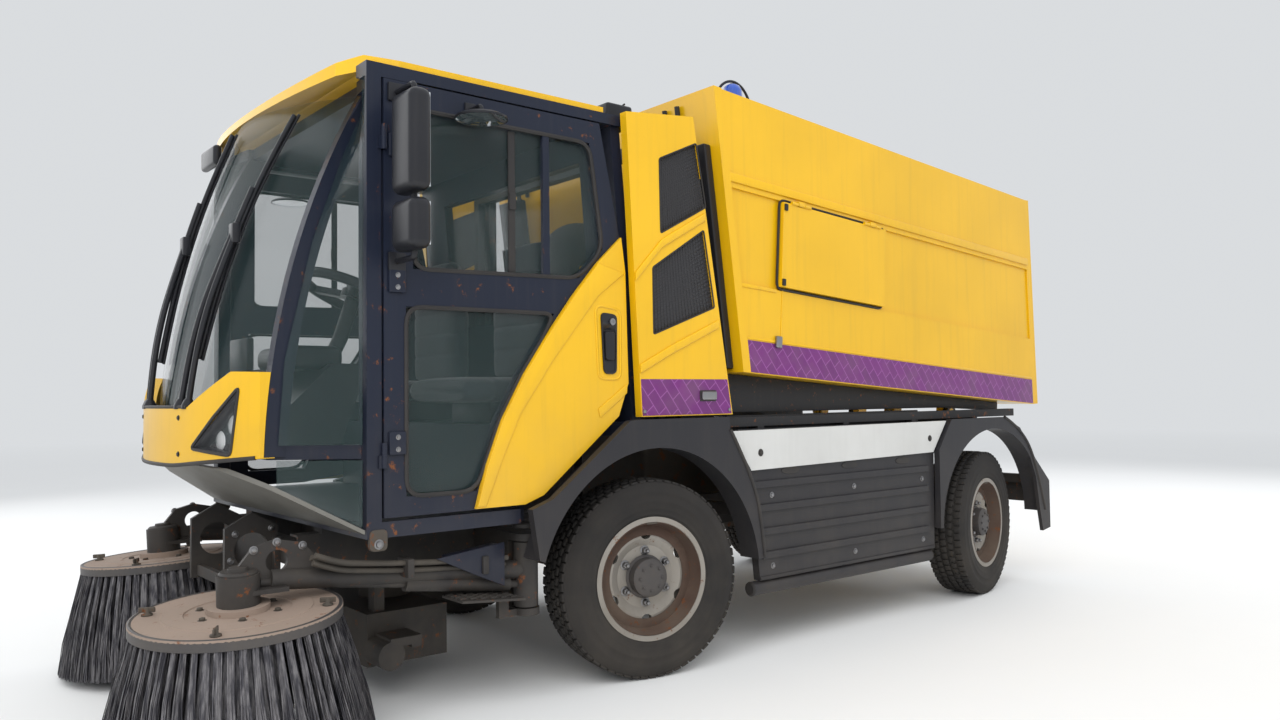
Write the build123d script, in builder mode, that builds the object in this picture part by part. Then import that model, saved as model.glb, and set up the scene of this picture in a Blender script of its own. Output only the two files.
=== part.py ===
from build123d import *

import os
from math import cos, hypot, radians, sin, sqrt

# Compact street sweeper truck with a tipping hopper, all-wheel steering and two front brushes.
# X is the truck's left, -Y its front, Z up, in millimetres. In outlines and tables every y is
# measured from the front axle, and the helpers below shift it to the part's own origin.

# Driving dimensions
FRONT_AXLE_Y = -554
WHEELBASE = 2300
KINGPIN_X = 680
WHEEL_OFFSET = 64
STEER_FRONT = -11.9
STEER_REAR = 10.9

TYRE_R = 380
TYRE_W = 211
RIM_R = 222
BEAD_GAP = 0.3
HUB_BORE_R = 40.05
SPINDLE_R = 40
KINGPIN_R = 20
PIN_GAP = 0.05
SEAT_GAP = 0.3

RAIL_X = 400
RAIL_W = 70
RAIL_Z = 480
RAIL_H = 140
RAIL_WALL = 8
RAIL_FRONT = -1240
RAIL_REAR = 2920
DECK_Z = 945
DECK_H = 40

CAB_X = 745
DOOR_IN_X = 750
DOOR_X = 800
DOOR_HINGE_X = 803
DOOR_HINGE_Y = -1112
FLOOR_Z = 640
FLOOR_T = 50
SEAT_FLOOR_Z = 930
PILLAR_X = 555
SCREEN_AXIS_Y = -410
GLASS_T = 8

HOPPER_X = 850
HOPPER_WALL = 30
HOPPER_TIP = 4.0
HOPPER_PIVOT = (2750, 960)
HOPPER_FLOOR_Z = 1014
HOPPER_TOP_Z = 2180
HATCH_PROUD = 22

BRUSH_X = 652
BRUSH_Z = 444
BRUSH_R = 300
BRISTLE_R = 400
BRISTLE_DROP = 412
BRUSH_HUB_TOP = 24
ARM_PIVOT = (700, -520)
# y of each brush's centre: the left arm's inner tube is drawn out further than the right one's
BRUSH_Y = {"left": -1510, "right": -1401}

SIDES = {"left": 1, "right": -1}


def side_plane(x):
    """Plane whose sketch axes are y from the front axle and z, facing the truck's left."""
    return Plane(origin=(x, FRONT_AXLE_Y, 0), x_dir=(0, 1, 0), z_dir=(1, 0, 0))


def top_plane(z):
    """Plane whose sketch axes are x and y from the front axle, facing up."""
    return Plane(origin=(0, FRONT_AXLE_Y, z), x_dir=(1, 0, 0), z_dir=(0, 0, 1))


def front_plane(y):
    """Plane whose sketch axes are x and z, facing the front."""
    return Plane(origin=(0, FRONT_AXLE_Y + y, 0), x_dir=(1, 0, 0), z_dir=(0, -1, 0))


def spot(x, y, z):
    """A point given by x, y from the front axle, and z."""
    return (x, FRONT_AXLE_Y + y, z)


def prism(plane, outline, amount, mode=Mode.ADD):
    """Extrude a closed straight-sided outline."""
    with BuildSketch(plane) as profile:
        with BuildLine():
            Polyline(*outline, close=True)
        make_face()
    extrude(profile.sketch, amount=amount, mode=mode)


def side_prism(outline, x_low, x_high, mode=Mode.ADD):
    """Extrude a (y, z) outline between two x."""
    prism(side_plane(x_low), outline, x_high - x_low, mode)


def block(x_low, x_high, y_low, y_high, z_low, z_high, mode=Mode.ADD):
    """Add a box between its low and high corners."""
    centre = spot((x_low + x_high) / 2, (y_low + y_high) / 2, (z_low + z_high) / 2)
    with Locations(centre):
        Box(x_high - x_low, y_high - y_low, z_high - z_low, mode=mode)


def pair(x_low, x_high, y_low, y_high, z_low, z_high, mode=Mode.ADD):
    """Add the same box on the left and on the right."""
    block(x_low, x_high, y_low, y_high, z_low, z_high, mode)
    block(-x_high, -x_low, y_low, y_high, z_low, z_high, mode)


def rod(start, end, radius, mode=Mode.ADD):
    """Add a round bar between two points."""
    a = Vector(*spot(*start))
    b = Vector(*spot(*end))
    with BuildSketch(Plane(origin=a, z_dir=b - a)) as section:
        Circle(radius)
    extrude(section.sketch, amount=(b - a).length, mode=mode)


def bent_tube(points, radius, bend, bore=0):
    """Add a tube along straight runs joined by tangent arcs."""
    route = [Vector(*spot(*p)) for p in points]
    with BuildLine() as path:
        FilletPolyline(*route, radius=bend)
    with BuildSketch(Plane(origin=route[0], z_dir=route[1] - route[0])) as section:
        Circle(radius)
        if bore:
            Circle(bore, mode=Mode.SUBTRACT)
    sweep(section.sketch, path=path.line)


def duct(points, radius, mode=Mode.ADD):
    """Add straight round runs with a ball at each turn."""
    for start, end in zip(points, points[1:]):
        rod(start, end, radius, mode)
    for turn in points[1:-1]:
        with Locations(spot(*turn)):
            Sphere(radius, mode=mode)


def arc_centre(a, b, c):
    """Centre of the circle through three points of a plane."""
    turn = 2 * (a[0] * (b[1] - c[1]) + b[0] * (c[1] - a[1]) + c[0] * (a[1] - b[1]))
    squares = [x * x + y * y for x, y in (a, b, c)]
    x = squares[0] * (b[1] - c[1]) + squares[1] * (c[1] - a[1]) + squares[2] * (a[1] - b[1])
    y = squares[0] * (c[0] - b[0]) + squares[1] * (a[0] - c[0]) + squares[2] * (b[0] - a[0])
    return x / turn, y / turn


def save(part, name):
    """Label a finished piece and write its file."""
    part.label = name
    export_step(part, f"parts/{name}.step")


os.makedirs("parts", exist_ok=True)


# Chassis: two channel rails, cross members, hopper towers and the brackets of the brush arms
CHANNEL = [
    (RAIL_X, RAIL_Z),
    (RAIL_X, RAIL_Z + RAIL_H),
    (RAIL_X - RAIL_W, RAIL_Z + RAIL_H),
    (RAIL_X - RAIL_W, RAIL_Z + RAIL_H - RAIL_WALL),
    (RAIL_X - RAIL_WALL, RAIL_Z + RAIL_H - RAIL_WALL),
    (RAIL_X - RAIL_WALL, RAIL_Z + RAIL_WALL),
    (RAIL_X - RAIL_W, RAIL_Z + RAIL_WALL),
    (RAIL_X - RAIL_W, RAIL_Z),
]
CROSS_MEMBER_Y = (-1210, -900, 330, 1180, 1560, 2860)
CROSS_HALF = 30
CAB_MOUNT_Y = (-1120, -640)
CROSS_Z = (510, 590)
OUTRIGGER_Y = (620, 1200, 1740, 2895)
OUTRIGGER_HALF = 20
DECK_IN_X = 760
DECK_OUT_X = 800
DECK_FRONT = 300
DECK_REAR = 2700
HIGH_OUTRIGGER_Y = 2300
HIGH_OUTRIGGER_Z = 912
TOWER_HALF_Y = 110
TOWER_R = 45
TOWER_X = (340, 370)
PIVOT_R = 25
RAM_FOOT = (1700, 560)
RAM_PIN_R = 22
LUG_T = 25
LUG_R = 48
POST_Z = (300, 590)
ARM_PIN_R = 25
ARM_PIN_GAP = 0.05
STEP = [(-835, 394), (-835, 402), (-585, 379), (-585, 371)]
STEP_X = (660, 800)
STEP_FOOT_Y = (-640, -600)
STEP_FOOT_HALF = 11

with BuildPart() as chassis_frame:
    for side in (1, -1):
        prism(front_plane(RAIL_REAR), [(side * x, z) for x, z in CHANNEL], RAIL_REAR - RAIL_FRONT)
    for y in CROSS_MEMBER_Y:
        block(-RAIL_X + RAIL_WALL / 2, RAIL_X - RAIL_WALL / 2, y - CROSS_HALF, y + CROSS_HALF, *CROSS_Z)
    for y in CAB_MOUNT_Y:
        pair(RAIL_X - RAIL_W, RAIL_X, y - 35, y + 35, RAIL_Z + RAIL_H - 1, FLOOR_Z - SEAT_GAP)
    # Towers that carry the hopper's pivot
    pivot_y, pivot_z = HOPPER_PIVOT
    for side in (1, -1):
        low, high = sorted((side * TOWER_X[0], side * TOWER_X[1]))
        foot_z = RAIL_Z + RAIL_H - 1
        tower = [
            (pivot_y - TOWER_HALF_Y, foot_z),
            (pivot_y - TOWER_R, pivot_z),
            (pivot_y + TOWER_R, pivot_z),
            (pivot_y + TOWER_HALF_Y, foot_z),
        ]
        side_prism(tower, low, high)
        rod((low, pivot_y, pivot_z), (high, pivot_y, pivot_z), TOWER_R)
    rod((-400, pivot_y, pivot_z), (400, pivot_y, pivot_z), PIVOT_R + PIN_GAP, Mode.SUBTRACT)
    # Cross tube that carries the feet of the tipping rams
    rod((-RAIL_X + 4, *RAM_FOOT), (RAIL_X - 4, *RAM_FOOT), RAM_PIN_R)
    # Brackets that hold the brush arms' pivots, seated on the rails' outer faces
    for side in (1, -1):
        px, py = ARM_PIVOT
        low, high = sorted((side * (RAIL_X + SEAT_GAP), side * (px - LUG_R - 6)))
        block(low, high, py - 40, py + 40, RAIL_Z + 10, POST_Z[1])
        low, high = sorted((side * (px - LUG_R - 46), side * (px - LUG_R - 6)))
        block(low, high, py - 40, py + 40, *POST_Z)
        for z in (POST_Z[0], POST_Z[1] - LUG_T):
            low, high = sorted((side * (px - LUG_R - 26), side * px))
            block(low, high, py - LUG_R, py + LUG_R, z, z + LUG_T)
            rod((side * px, py, z), (side * px, py, z + LUG_T), LUG_R)
        rod((side * px, py, POST_Z[0] - 1), (side * px, py, POST_Z[1] + 1), ARM_PIN_R + ARM_PIN_GAP, Mode.SUBTRACT)
        # Step ahead of the pivot, on a foot that stands on the lower lug
        low, high = sorted((side * (px - STEP_FOOT_HALF), side * (px + STEP_FOOT_HALF)))
        block(low, high, STEP_FOOT_Y[0], py - LUG_R + 8, POST_Z[0], POST_Z[0] + LUG_T)
        block(low, high, *STEP_FOOT_Y, POST_Z[0], 380)
        side_prism(STEP, *sorted((side * STEP_X[0], side * STEP_X[1])))
save(chassis_frame.part, "chassis_frame")

# Deck: outriggers from the rails, the beams along their ends and the arms over the rear wheels
with BuildPart() as deck_frame:
    for y in OUTRIGGER_Y:
        pair(RAIL_X + SEAT_GAP, DECK_OUT_X, y - OUTRIGGER_HALF, y + OUTRIGGER_HALF, 550, 600)
        if y < DECK_REAR:
            pair(DECK_IN_X, DECK_OUT_X, y - OUTRIGGER_HALF, y + OUTRIGGER_HALF, 550, DECK_Z + DECK_H / 2)
    pair(DECK_IN_X, DECK_OUT_X, DECK_FRONT, DECK_REAR, DECK_Z, DECK_Z + DECK_H)
    low_y = HIGH_OUTRIGGER_Y - OUTRIGGER_HALF
    high_y = HIGH_OUTRIGGER_Y + OUTRIGGER_HALF
    pair(RAIL_X - RAIL_W, RAIL_X, low_y, high_y, RAIL_Z + RAIL_H + SEAT_GAP, HIGH_OUTRIGGER_Z + 10)
    pair(RAIL_X - RAIL_W, DECK_OUT_X, low_y, high_y, HIGH_OUTRIGGER_Z, DECK_Z + 5)
save(deck_frame.part, "deck_frame")

# Axles: beam, kingpin yokes, leaf springs and their seats
YOKE_Z = (70, 100)
KNUCKLE_HALF_Z = 66
SPRING_HALF = 430
SPRING_T = 34
AXLE_STATIONS = {"front_axle": 0, "rear_axle": WHEELBASE}

for name, y in AXLE_STATIONS.items():
    with BuildPart() as axle:
        rod((-KINGPIN_X + 50, y, TYRE_R), (KINGPIN_X - 50, y, TYRE_R), 45)
        for side in (1, -1):
            low, high = sorted((side * (KINGPIN_X - 80), side * (KINGPIN_X - 44)))
            block(low, high, y - 40, y + 40, TYRE_R - YOKE_Z[1], TYRE_R + YOKE_Z[1])
            for z in (TYRE_R - YOKE_Z[1], TYRE_R + YOKE_Z[0]):
                low, high = sorted((side * (KINGPIN_X - 60), side * KINGPIN_X))
                block(low, high, y - 34, y + 34, z, z + YOKE_Z[1] - YOKE_Z[0])
                rod((side * KINGPIN_X, y, z), (side * KINGPIN_X, y, z + YOKE_Z[1] - YOKE_Z[0]), 34)
            rod(
                (side * KINGPIN_X, y, TYRE_R - YOKE_Z[1] - 1),
                (side * KINGPIN_X, y, TYRE_R + YOKE_Z[1] + 1),
                KINGPIN_R + PIN_GAP,
                Mode.SUBTRACT,
            )
            low, high = sorted((side * (RAIL_X - RAIL_W), side * RAIL_X))
            seat_z = TYRE_R + 40
            side_prism(
                [
                    (y - SPRING_HALF, RAIL_Z - SPRING_T),
                    (y - 80, seat_z),
                    (y + 80, seat_z),
                    (y + SPRING_HALF, RAIL_Z - SPRING_T),
                    (y + SPRING_HALF, RAIL_Z),
                    (y + 380, RAIL_Z),
                    (y + 80, seat_z + SPRING_T),
                    (y - 80, seat_z + SPRING_T),
                    (y - 380, RAIL_Z),
                    (y - SPRING_HALF, RAIL_Z),
                ],
                low,
                high,
            )
            block(low, high, y - 60, y + 60, TYRE_R - 52, seat_z + 1)
    save(axle.part, name)

# Knuckles, wheels and tyres. Each is built about its own kingpin and turned to its steering angle.
TYRE_PROFILE = [
    (-78, RIM_R + BEAD_GAP),
    (-TYRE_W / 2, 312),
    (-93, TYRE_R - 9),
    (-72, TYRE_R),
    (72, TYRE_R),
    (93, TYRE_R - 9),
    (TYRE_W / 2, 312),
    (78, RIM_R + BEAD_GAP),
]
DISC_X = (16, 28)
HUB_BACK_X = -26
HAND_HOLES = 6
HAND_HOLE_R = 24
HAND_HOLE_PCR = 168
RIM_PROFILE = [
    (-96, RIM_R),
    (-96, RIM_R + 14),
    (-88, RIM_R + 14),
    (-86, RIM_R),
    (86, RIM_R),
    (88, RIM_R + 14),
    (96, RIM_R + 14),
    (96, RIM_R - 6),
    (60, RIM_R - 14),
    (DISC_X[1] + 6, RIM_R - 22),
    (DISC_X[1] + 16, 150),
    (DISC_X[1] + 2, 120),
    (DISC_X[1] + 2, 71),
    (DISC_X[1] + 48, 71),
    (DISC_X[1] + 54, 60),
    (DISC_X[1] + 54, 0),
    (DISC_X[1] + 44, 0),
    (DISC_X[1] + 44, HUB_BORE_R),
    (HUB_BACK_X, HUB_BORE_R),
    (HUB_BACK_X, 70),
    (DISC_X[0] - 10, 70),
    (DISC_X[0] - 10, 120),
    (DISC_X[0] + 2, 152),
    (DISC_X[0] - 6, RIM_R - 22),
    (-96, RIM_R - 10),
]
CORNERS = {
    "front_left": (1, 0, STEER_FRONT),
    "front_right": (-1, 0, STEER_FRONT),
    "rear_left": (1, WHEELBASE, STEER_REAR),
    "rear_right": (-1, WHEELBASE, STEER_REAR),
}


def corner_plane(side, y, steer):
    """Plane at a kingpin, level with the axle, whose x runs outwards and whose y runs up."""
    turn = radians(steer)
    return Plane(
        origin=spot(side * KINGPIN_X, y, TYRE_R),
        x_dir=(side * cos(turn), side * sin(turn), 0),
        z_dir=(side * sin(turn), -side * cos(turn), 0),
    )


def spun(plane, profile):
    """Revolve a (distance out from the wheel's centre plane, radius) profile about the spindle."""
    with BuildSketch(plane) as section:
        with BuildLine():
            Polyline(*[(x + WHEEL_OFFSET, r) for x, r in profile], close=True)
        make_face()
    revolve(section.sketch, axis=Axis(plane.origin, plane.x_dir))


for corner, (side, y, steer) in CORNERS.items():
    plane = corner_plane(side, y, steer)
    out = plane.x_dir
    hub = plane.origin + out * WHEEL_OFFSET

    with BuildPart() as knuckle:
        with BuildSketch(plane) as spindle:
            with BuildLine():
                Polyline(
                    (0, 0),
                    (WHEEL_OFFSET + DISC_X[1] + 40, 0),
                    (WHEEL_OFFSET + DISC_X[1] + 40, SPINDLE_R),
                    (WHEEL_OFFSET - 62, SPINDLE_R),
                    (0, SPINDLE_R),
                    close=True,
                )
            make_face()
        revolve(spindle.sketch, axis=Axis(plane.origin, out))
        rod(
            (side * KINGPIN_X, y, TYRE_R - KNUCKLE_HALF_Z),
            (side * KINGPIN_X, y, TYRE_R + KNUCKLE_HALF_Z),
            33,
        )
        rod(
            (side * KINGPIN_X, y, TYRE_R - YOKE_Z[1]),
            (side * KINGPIN_X, y, TYRE_R + YOKE_Z[1]),
            KINGPIN_R,
        )
    save(knuckle.part, f"knuckle_{corner}")

    with BuildPart() as rim:
        spun(plane, RIM_PROFILE)
        with BuildSketch(Plane(origin=hub, x_dir=(0, 0, 1), z_dir=out)) as holes:
            with PolarLocations(HAND_HOLE_PCR, HAND_HOLES):
                Circle(HAND_HOLE_R)
        extrude(holes.sketch, amount=80, mode=Mode.SUBTRACT)
    save(rim.part, f"wheel_{corner}")

    with BuildPart() as tyre:
        spun(plane, TYRE_PROFILE)
    save(tyre.part, f"tyre_{corner}")

# Engine: one plain block between the rails behind the cab
ENGINE_MOUNT_Y = (530, 1010)
with BuildPart() as engine_block:
    block(-250, 250, 420, 1120, 430, 900)
    fillet(engine_block.edges().filter_by(Axis.Z), radius=30)
    for y in ENGINE_MOUNT_Y:
        pair(249, RAIL_X - RAIL_WALL - SEAT_GAP, y - 35, y + 35, 520, 580)
save(engine_block.part, "engine_block")

# Cab frame: floor, seat base, posts, rails and rear wall
FRONT_POST_Y = (-1168, -1118)
POST_IN_X = 735
POST_OUT_X = 795
CAB_TOP_Z = 2160
REAR_LEAN = [(-25, SEAT_FLOOR_Z), (-130, CAB_TOP_Z)]
REAR_WALL_T = 45
REAR_PANE_X = 560
REAR_PANE_Z = (1420, 2020)
PILLAR_ARC = [(-1410, 900), (-1297, 1600), (-1066, 2150)]
PILLAR_DEPTH = 62
PILLAR_W = 48


def lean_y(z):
    """y of the cab's rear face at a height."""
    (y0, z0), (y1, z1) = REAR_LEAN
    return y0 + (z - z0) * (y1 - y0) / (z1 - z0)


def pillar_band(x_low, x_high, ahead, behind, mode=Mode.ADD):
    """A band along the screen pillar's curve, from ahead of it to behind it."""
    with BuildSketch(side_plane(x_low)) as band:
        with BuildLine():
            front = [(y - ahead, z) for y, z in PILLAR_ARC]
            back = [(y + behind, z) for y, z in PILLAR_ARC]
            ThreePointArc(*front)
            Line(front[2], back[2])
            ThreePointArc(*reversed(back))
            Line(back[0], front[0])
        make_face()
    extrude(band.sketch, amount=x_high - x_low, mode=mode)


HINGE_Z = (860, 1880)
HINGE_H = 40
HINGE_R = 9
QUARTER_ROWS = [(936, -1380), (1200, -1362), (1600, -1270), (1900, -1165), (2112, -1075)]


def quarter_glass(side, ahead, behind, mode=Mode.ADD):
    """Loft the pane between a screen pillar and its door post, with a depth ahead and behind."""
    sections = []
    for z, y in QUARTER_ROWS:
        front = Vector(PILLAR_X + PILLAR_W + 9, y)
        rear = Vector(POST_OUT_X - 14, FRONT_POST_Y[0] - 9)
        run = (rear - front).normalized()
        inward = Vector(-run.Y, run.X)
        with BuildSketch(top_plane(z)) as row:
            with BuildLine():
                outer = [front - inward * ahead, rear - inward * ahead]
                inner = [rear + inward * behind, front + inward * behind]
                Polyline(*[(side * c.X, c.Y) for c in outer + inner], close=True)
            make_face()
        sections.append(row.sketch)
    loft(sections, ruled=True, mode=mode)


def hinge_knuckle(side, z, gap=0, mode=Mode.ADD):
    """One upright knuckle of a door hinge."""
    foot = (side * DOOR_HINGE_X, DOOR_HINGE_Y, z - gap)
    rod(foot, (foot[0], foot[1], z + HINGE_H + gap), HINGE_R + gap, mode)


with BuildPart() as cab_frame:
    block(-CAB_X, CAB_X, -1168, -560, FLOOR_Z, FLOOR_Z + FLOOR_T)
    block(-CAB_X, CAB_X, -600, -555, FLOOR_Z, SEAT_FLOOR_Z + FLOOR_T)
    block(-CAB_X, CAB_X, -600, lean_y(SEAT_FLOOR_Z + FLOOR_T), SEAT_FLOOR_Z, SEAT_FLOOR_Z + FLOOR_T)
    side_prism(
        [
            (lean_y(SEAT_FLOOR_Z) - REAR_WALL_T, SEAT_FLOOR_Z),
            (lean_y(SEAT_FLOOR_Z), SEAT_FLOOR_Z),
            (lean_y(CAB_TOP_Z), CAB_TOP_Z),
            (lean_y(CAB_TOP_Z) - REAR_WALL_T, CAB_TOP_Z),
        ],
        -POST_OUT_X + 20,
        POST_OUT_X - 20,
    )
    block(-REAR_PANE_X, REAR_PANE_X, -400, 200, *REAR_PANE_Z, Mode.SUBTRACT)
    # Posts in front of the doors, sills and the rails above the doors
    pair(POST_IN_X, POST_OUT_X, *FRONT_POST_Y, FLOOR_Z, CAB_TOP_Z)
    pair(POST_IN_X, POST_OUT_X, FRONT_POST_Y[0], -600, FLOOR_Z, FLOOR_Z + FLOOR_T)
    pair(POST_IN_X - 20, POST_OUT_X, FRONT_POST_Y[0], lean_y(2140) - 5, 2120, CAB_TOP_Z)
    # Hinge knuckles that the doors' own knuckles stand on
    for z in HINGE_Z:
        pair(POST_OUT_X - 15, DOOR_HINGE_X, DOOR_HINGE_Y - 18, DOOR_HINGE_Y - SEAT_GAP, z, z + HINGE_H)
        for side in (1, -1):
            hinge_knuckle(side, z)
    # Screen pillars, screen header and the bars under the screen and the quarter glass
    for side in (1, -1):
        low, high = sorted((side * PILLAR_X, side * (PILLAR_X + PILLAR_W)))
        pillar_band(low, high, 10, PILLAR_DEPTH)
        bar = [(PILLAR_X + 8, -1400), (POST_OUT_X - 10, -1130), (POST_IN_X, -1118), (PILLAR_X + 8, -1340)]
        prism(top_plane(890), [(side * x, y) for x, y in bar], 45)
        rail = [(PILLAR_X + 8, -1100), (POST_OUT_X, -1125), (POST_OUT_X, -1020), (PILLAR_X + 8, -1020)]
        prism(top_plane(2115), [(side * x, y) for x, y in rail], 45)
    block(-PILLAR_X - 10, PILLAR_X + 10, -1080, -1020, 2115, CAB_TOP_Z)
    block(-CAB_X - 30, CAB_X + 30, -1080, lean_y(CAB_TOP_Z) - 10, 2140, CAB_TOP_Z)
    block(-PILLAR_X - 10, PILLAR_X + 10, -1395, -1345, 890, 935)
    for side in (1, -1):
        quarter_glass(side, 90, GLASS_T + SEAT_GAP, Mode.SUBTRACT)
save(cab_frame.part, "cab_frame")

# Roof with its visor
with BuildPart() as cab_roof:
    with BuildSketch(side_plane(-770)) as roof_side:
        with BuildLine():
            Polyline((-195, CAB_TOP_Z), (-1130, CAB_TOP_Z), (-1290, 2118), (-1300, 2140))
            ThreePointArc((-1300, 2140), (-760, 2290), (-195, 2225))
            Line((-195, 2225), (-195, CAB_TOP_Z))
        make_face()
    extrude(roof_side.sketch, amount=1540)
    with BuildSketch(top_plane(2000)) as roof_plan:
        with BuildLine():
            Polyline((-765, -190), (-765, -1040), (-640, -1205))
            ThreePointArc((-640, -1205), (0, -1290), (640, -1205))
            Polyline((640, -1205), (765, -1040), (765, -190), (-765, -190))
        make_face()
    extrude(roof_plan.sketch, amount=400, mode=Mode.INTERSECT)
    with BuildSketch(front_plane(0)) as roof_front:
        with BuildLine():
            Polyline((-770, 2190), (-770, 2000), (770, 2000), (770, 2190))
            ThreePointArc((770, 2190), (0, 2300), (-770, 2190))
        make_face()
    extrude(roof_front.sketch, amount=1400, mode=Mode.INTERSECT)
save(cab_roof.part, "cab_roof")


# Curved front: everything ahead of the screen pillars is turned about one upright axis
def screen_radius(y):
    """Distance from the upright axis to a screen pillar's point."""
    return hypot(PILLAR_X, y - SCREEN_AXIS_Y)


SCREEN_ARC = [(screen_radius(y) + 4, z) for y, z in PILLAR_ARC]
SWEEP = 100


def turned_band(plane, inner, outer):
    """Revolve the band between two radii that follow the screen's curve."""
    with BuildSketch(plane) as band:
        with BuildLine():
            front = [(r + outer, z) for r, z in SCREEN_ARC]
            back = [(r + inner, z) for r, z in SCREEN_ARC]
            ThreePointArc(*front)
            Line(front[2], back[2])
            ThreePointArc(*reversed(back))
            Line(back[0], front[0])
        make_face()
    revolve(band.sketch, axis=Axis(spot(0, SCREEN_AXIS_Y, 0), (0, 0, 1)), revolution_arc=SWEEP)


def fan_plane(angle):
    """Upright half plane through the screen's axis, its sketch x pointing forwards and outwards."""
    turn = radians(angle)
    return Plane(
        origin=spot(0, SCREEN_AXIS_Y, 0),
        x_dir=(-sin(turn), -cos(turn), 0),
        z_dir=(-cos(turn), sin(turn), 0),
    )


with BuildPart() as windscreen:
    turned_band(fan_plane(SWEEP / 2), -GLASS_T, 0)
    block(-PILLAR_X + 0.5, PILLAR_X - 0.5, -1700, -900, 940, 2112, Mode.INTERSECT)
save(windscreen.part, "windscreen")

NOSE_Z = (862, 1172)
NOSE_HALF_X = 605
NOSE_CROWN = [
    (-NOSE_HALF_X, NOSE_Z[0] + 36),
    (-200, NOSE_Z[0]),
    (200, NOSE_Z[0]),
    (NOSE_HALF_X, NOSE_Z[0] + 36),
    (NOSE_HALF_X, NOSE_Z[1] - 4),
    (500, NOSE_Z[1]),
    (290, 1060),
    (-290, 1060),
    (-500, NOSE_Z[1]),
    (-NOSE_HALF_X, NOSE_Z[1] - 4),
]
LAMP_POCKET = [(313, 925), (532, 1123), (500, 905)]
NOSE_R = (1150, 1190)


def nose_shell(inner, outer, low, high):
    """Revolve an upright band of the nose about the screen's axis."""
    with BuildSketch(fan_plane(SWEEP / 2)) as shell:
        with BuildLine():
            Polyline((inner, low), (outer, low), (outer, high), (inner, high), close=True)
        make_face()
    revolve(shell.sketch, axis=Axis(spot(0, SCREEN_AXIS_Y, 0), (0, 0, 1)), revolution_arc=SWEEP)


with BuildPart() as nose_panel:
    nose_shell(*NOSE_R, *NOSE_Z)
    prism(front_plane(-1200), NOSE_CROWN, 600, Mode.INTERSECT)
    for side in (1, -1):
        prism(front_plane(-1200), [(side * x, z) for x, z in LAMP_POCKET], 600, Mode.SUBTRACT)
        low, high = sorted((side * (PILLAR_X - 2), side * (NOSE_HALF_X + 2)))
        pillar_band(low, high, 12, 120, Mode.SUBTRACT)
save(nose_panel.part, "nose_panel")

with BuildPart() as headlamps:
    nose_shell(NOSE_R[0] + 2, NOSE_R[1] - 12, *NOSE_Z)
    prism(front_plane(-1200), LAMP_POCKET, 600, Mode.INTERSECT)
    mirror(about=Plane.YZ)
save(headlamps.part, "headlamps")

# Grey chin under the nose, sloping back to the floor
CHIN_T = 14
CHIN_REAR = FRONT_POST_Y[0] - SEAT_GAP
CHIN_X = 782
with BuildPart() as chin_panel:
    side_prism(
        [(-1500, 860), (-1500 + CHIN_T * 2, 860), (CHIN_REAR, 668), (CHIN_REAR, 654)],
        -POST_OUT_X,
        POST_OUT_X,
    )
    with BuildSketch(top_plane(600)) as chin_plan:
        with BuildLine():
            Polyline((-CHIN_X, CHIN_REAR), (-NOSE_HALF_X, -1395))
            ThreePointArc((-NOSE_HALF_X, -1395), (0, -1535), (NOSE_HALF_X, -1395))
            Polyline((NOSE_HALF_X, -1395), (CHIN_X, CHIN_REAR), (-CHIN_X, CHIN_REAR))
        make_face()
    extrude(chin_plan.sketch, amount=300, mode=Mode.INTERSECT)
save(chin_panel.part, "chin_panel")

# Quarter glass between each screen pillar and door post, the small pane below it and the pane in
# the cab's rear wall
PANE_FRONT = 28
LOW_PANE_FRONT = (PILLAR_X + 57, -1385)
LOW_PANE_REAR = (POST_OUT_X - 14, -1177)
LOW_PANE = [(0, 805.5), (0, 888), (1, 888), (1, 675.5)]
with BuildPart() as side_glass:
    for side in (1, -1):
        quarter_glass(side, 0, GLASS_T)
        start = Vector(*spot(side * LOW_PANE_FRONT[0], LOW_PANE_FRONT[1], 0))
        run = Vector(*spot(side * LOW_PANE_REAR[0], LOW_PANE_REAR[1], 0)) - start
        pane = Plane(origin=start, x_dir=run, z_dir=run.cross(Vector(0, 0, 1)))
        prism(pane, [(along * run.length, z) for along, z in LOW_PANE], -side * GLASS_T)
    side_prism(
        [
            (lean_y(REAR_PANE_Z[0]) - PANE_FRONT, REAR_PANE_Z[0]),
            (lean_y(REAR_PANE_Z[1]) - PANE_FRONT, REAR_PANE_Z[1]),
            (lean_y(REAR_PANE_Z[1]) - PANE_FRONT + GLASS_T, REAR_PANE_Z[1]),
            (lean_y(REAR_PANE_Z[0]) - PANE_FRONT + GLASS_T, REAR_PANE_Z[0]),
        ],
        -REAR_PANE_X,
        REAR_PANE_X,
    )
save(side_glass.part, "side_glass")

# Wipers: two parallelogram arms with their blades
SCREEN_CENTRE = arc_centre(*SCREEN_ARC)


def on_screen(x, z, ahead):
    """Point ahead of the screen's outer face at an x and a height."""
    centre_r, centre_z = SCREEN_CENTRE
    first_r, first_z = SCREEN_ARC[0]
    arc_r = hypot(first_r - centre_r, first_z - centre_z)
    radius = centre_r + sqrt(arc_r**2 - (z - centre_z) ** 2) + ahead
    return (x, SCREEN_AXIS_Y - sqrt(radius**2 - x**2), z)


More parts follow.
